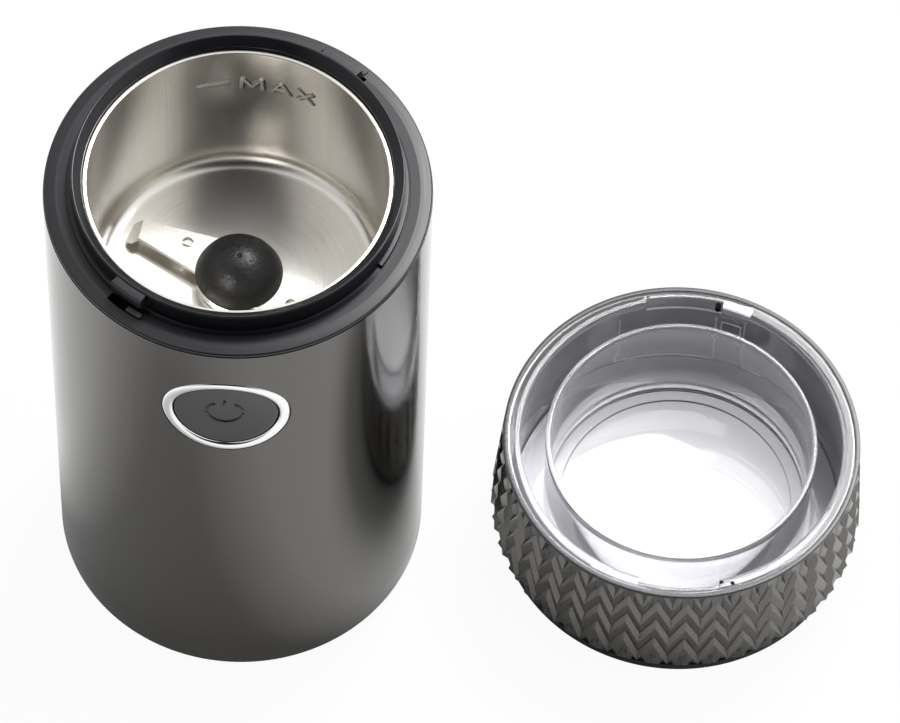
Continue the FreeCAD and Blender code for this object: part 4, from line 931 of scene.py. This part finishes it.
def floor_material(level, through_level):
    """White floor that keeps the object's shadow and looks white to the eye and through glass."""
    finish, nodes, links, shader = new_material("floor")
    noise = grain_node(nodes, links, 40.0)
    shade(nodes, links, shader, noise, (0.86, 0.86, 0.86), 0.01, 0.9, 0.02, 0.0, 0.0)
    glow = add_node(nodes, "Emission")
    glow.inputs["Strength"].default_value = 1.0
    path = add_node(nodes, "LightPath")
    straight = math_node(nodes, links, "MULTIPLY", path.outputs["Is Camera Ray"], level)
    through = path.outputs["Is Transmission Ray"]
    mix = add_node(nodes, "MixShader")
    links.new(math_node(nodes, links, "MULTIPLY_ADD", through, through_level, straight), mix.inputs["Fac"])
    links.new(shader.outputs["BSDF"], mix.inputs[1])
    links.new(glow.outputs["Emission"], mix.inputs[2])
    links.new(mix.outputs["Shader"], nodes["Material Output"].inputs["Surface"])
    return finish


def add_floor():
    """A wide level floor under the grinder."""
    reach = 6.0
    corners = [(-reach, -reach, 0), (reach, -reach, 0), (reach, reach, 0), (-reach, reach, 0)]
    mesh = bpy.data.meshes.new("floor")
    mesh.from_pydata(corners, [], [(0, 1, 2, 3)])
    floor = bpy.data.objects.new("floor", mesh)
    bpy.context.scene.collection.objects.link(floor)
    mesh.materials.append(floor_material(0.95, 0.4))


def add_lamp(name, place, aim, width, height, power):
    """A soft box that shines from one place to another, in metres and watts."""
    data = bpy.data.lights.new(name, "AREA")
    data.shape = "RECTANGLE"
    data.size = width
    data.size_y = height
    data.energy = power
    lamp = bpy.data.objects.new(name, data)
    lamp.location = place
    lamp.rotation_euler = (Vector(aim) - Vector(place)).to_track_quat("-Z", "Y").to_euler()
    bpy.context.scene.collection.objects.link(lamp)
    return lamp


# Level of the surroundings by direction, from the camera's side (0) to the far side (1), the turn of these
# directions in radians, and the share of the level at the left and the right.
SKY_STOPS = ((0.0, 0.02), (0.17, 0.02), (0.33, 0.7), (0.5, 0.95), (0.75, 0.95), (1.0, 0.95))
SKY_TURN = -0.06
SKY_SIDES = (0.7, 1.3)


def add_light():
    """Pale surroundings with a dark strip where the camera stands, and one soft box behind on the right."""
    world = bpy.data.worlds.new("studio")
    bpy.context.scene.world = world
    world.use_nodes = True
    nodes, links = world.node_tree.nodes, world.node_tree.links
    sky = nodes["Background"]
    sky.inputs["Strength"].default_value = 1.0
    where = add_node(nodes, "TexCoord")
    spin = add_node(nodes, "VectorRotate", rotation_type="Z_AXIS")
    spin.inputs["Angle"].default_value = SKY_TURN
    links.new(where.outputs["Generated"], spin.inputs["Vector"])
    parts = add_node(nodes, "SeparateXYZ")
    links.new(spin.outputs["Vector"], parts.inputs["Vector"])
    front = math_node(nodes, links, "MULTIPLY", parts.outputs["Y"], -1.0)
    way = math_node(nodes, links, "ARCTAN2", parts.outputs["X"], front)
    turn = math_node(nodes, links, "ABSOLUTE", way)
    ramp = add_node(nodes, "ValToRGB")
    ramp.color_ramp.interpolation = "EASE"
    elements = ramp.color_ramp.elements
    while len(elements) < len(SKY_STOPS):
        elements.new(0.5)
    for element, (place, level) in zip(elements, SKY_STOPS):
        element.position = place
        element.color = (level, level, level, 1)
    links.new(math_node(nodes, links, "DIVIDE", turn, math.pi), ramp.inputs["Fac"])
    side = ranged(nodes, links, parts.outputs["X"], (-1.0, 1.0), SKY_SIDES)
    both = vector_node(nodes, links, "SCALE", ramp.outputs["Color"], scale=side)
    links.new(both.outputs["Vector"], sky.inputs["Color"])
    add_lamp("key", (0.43, 0.71, 1.23), (0.05, 0.0, 0.08), 0.55, 0.55, 17.0)


def add_camera():
    """The camera stands where the photograph was taken from."""
    data = bpy.data.cameras.new("camera")
    data.sensor_width = 36.0
    data.lens = 257.728
    data.clip_start = 0.05
    camera = bpy.data.objects.new("camera", data)
    right = Vector((0.9984331593, 0.0514336595, 0.0220409847))
    up = Vector((-0.0555081045, 0.8605378890, 0.5063530309))
    ahead = Vector((-0.0070764870, 0.5067831097, -0.8620445482))
    turn = Matrix((right, up, -ahead)).transposed()
    place = Vector((0.0615033077, -0.7844395226, 1.4117174402))
    camera.matrix_world = Matrix.Translation(place) @ turn.to_4x4()
    bpy.context.scene.collection.objects.link(camera)
    bpy.context.scene.camera = camera


add_floor()
add_light()
add_camera()
bpy.context.scene.view_settings.view_transform = "Standard"
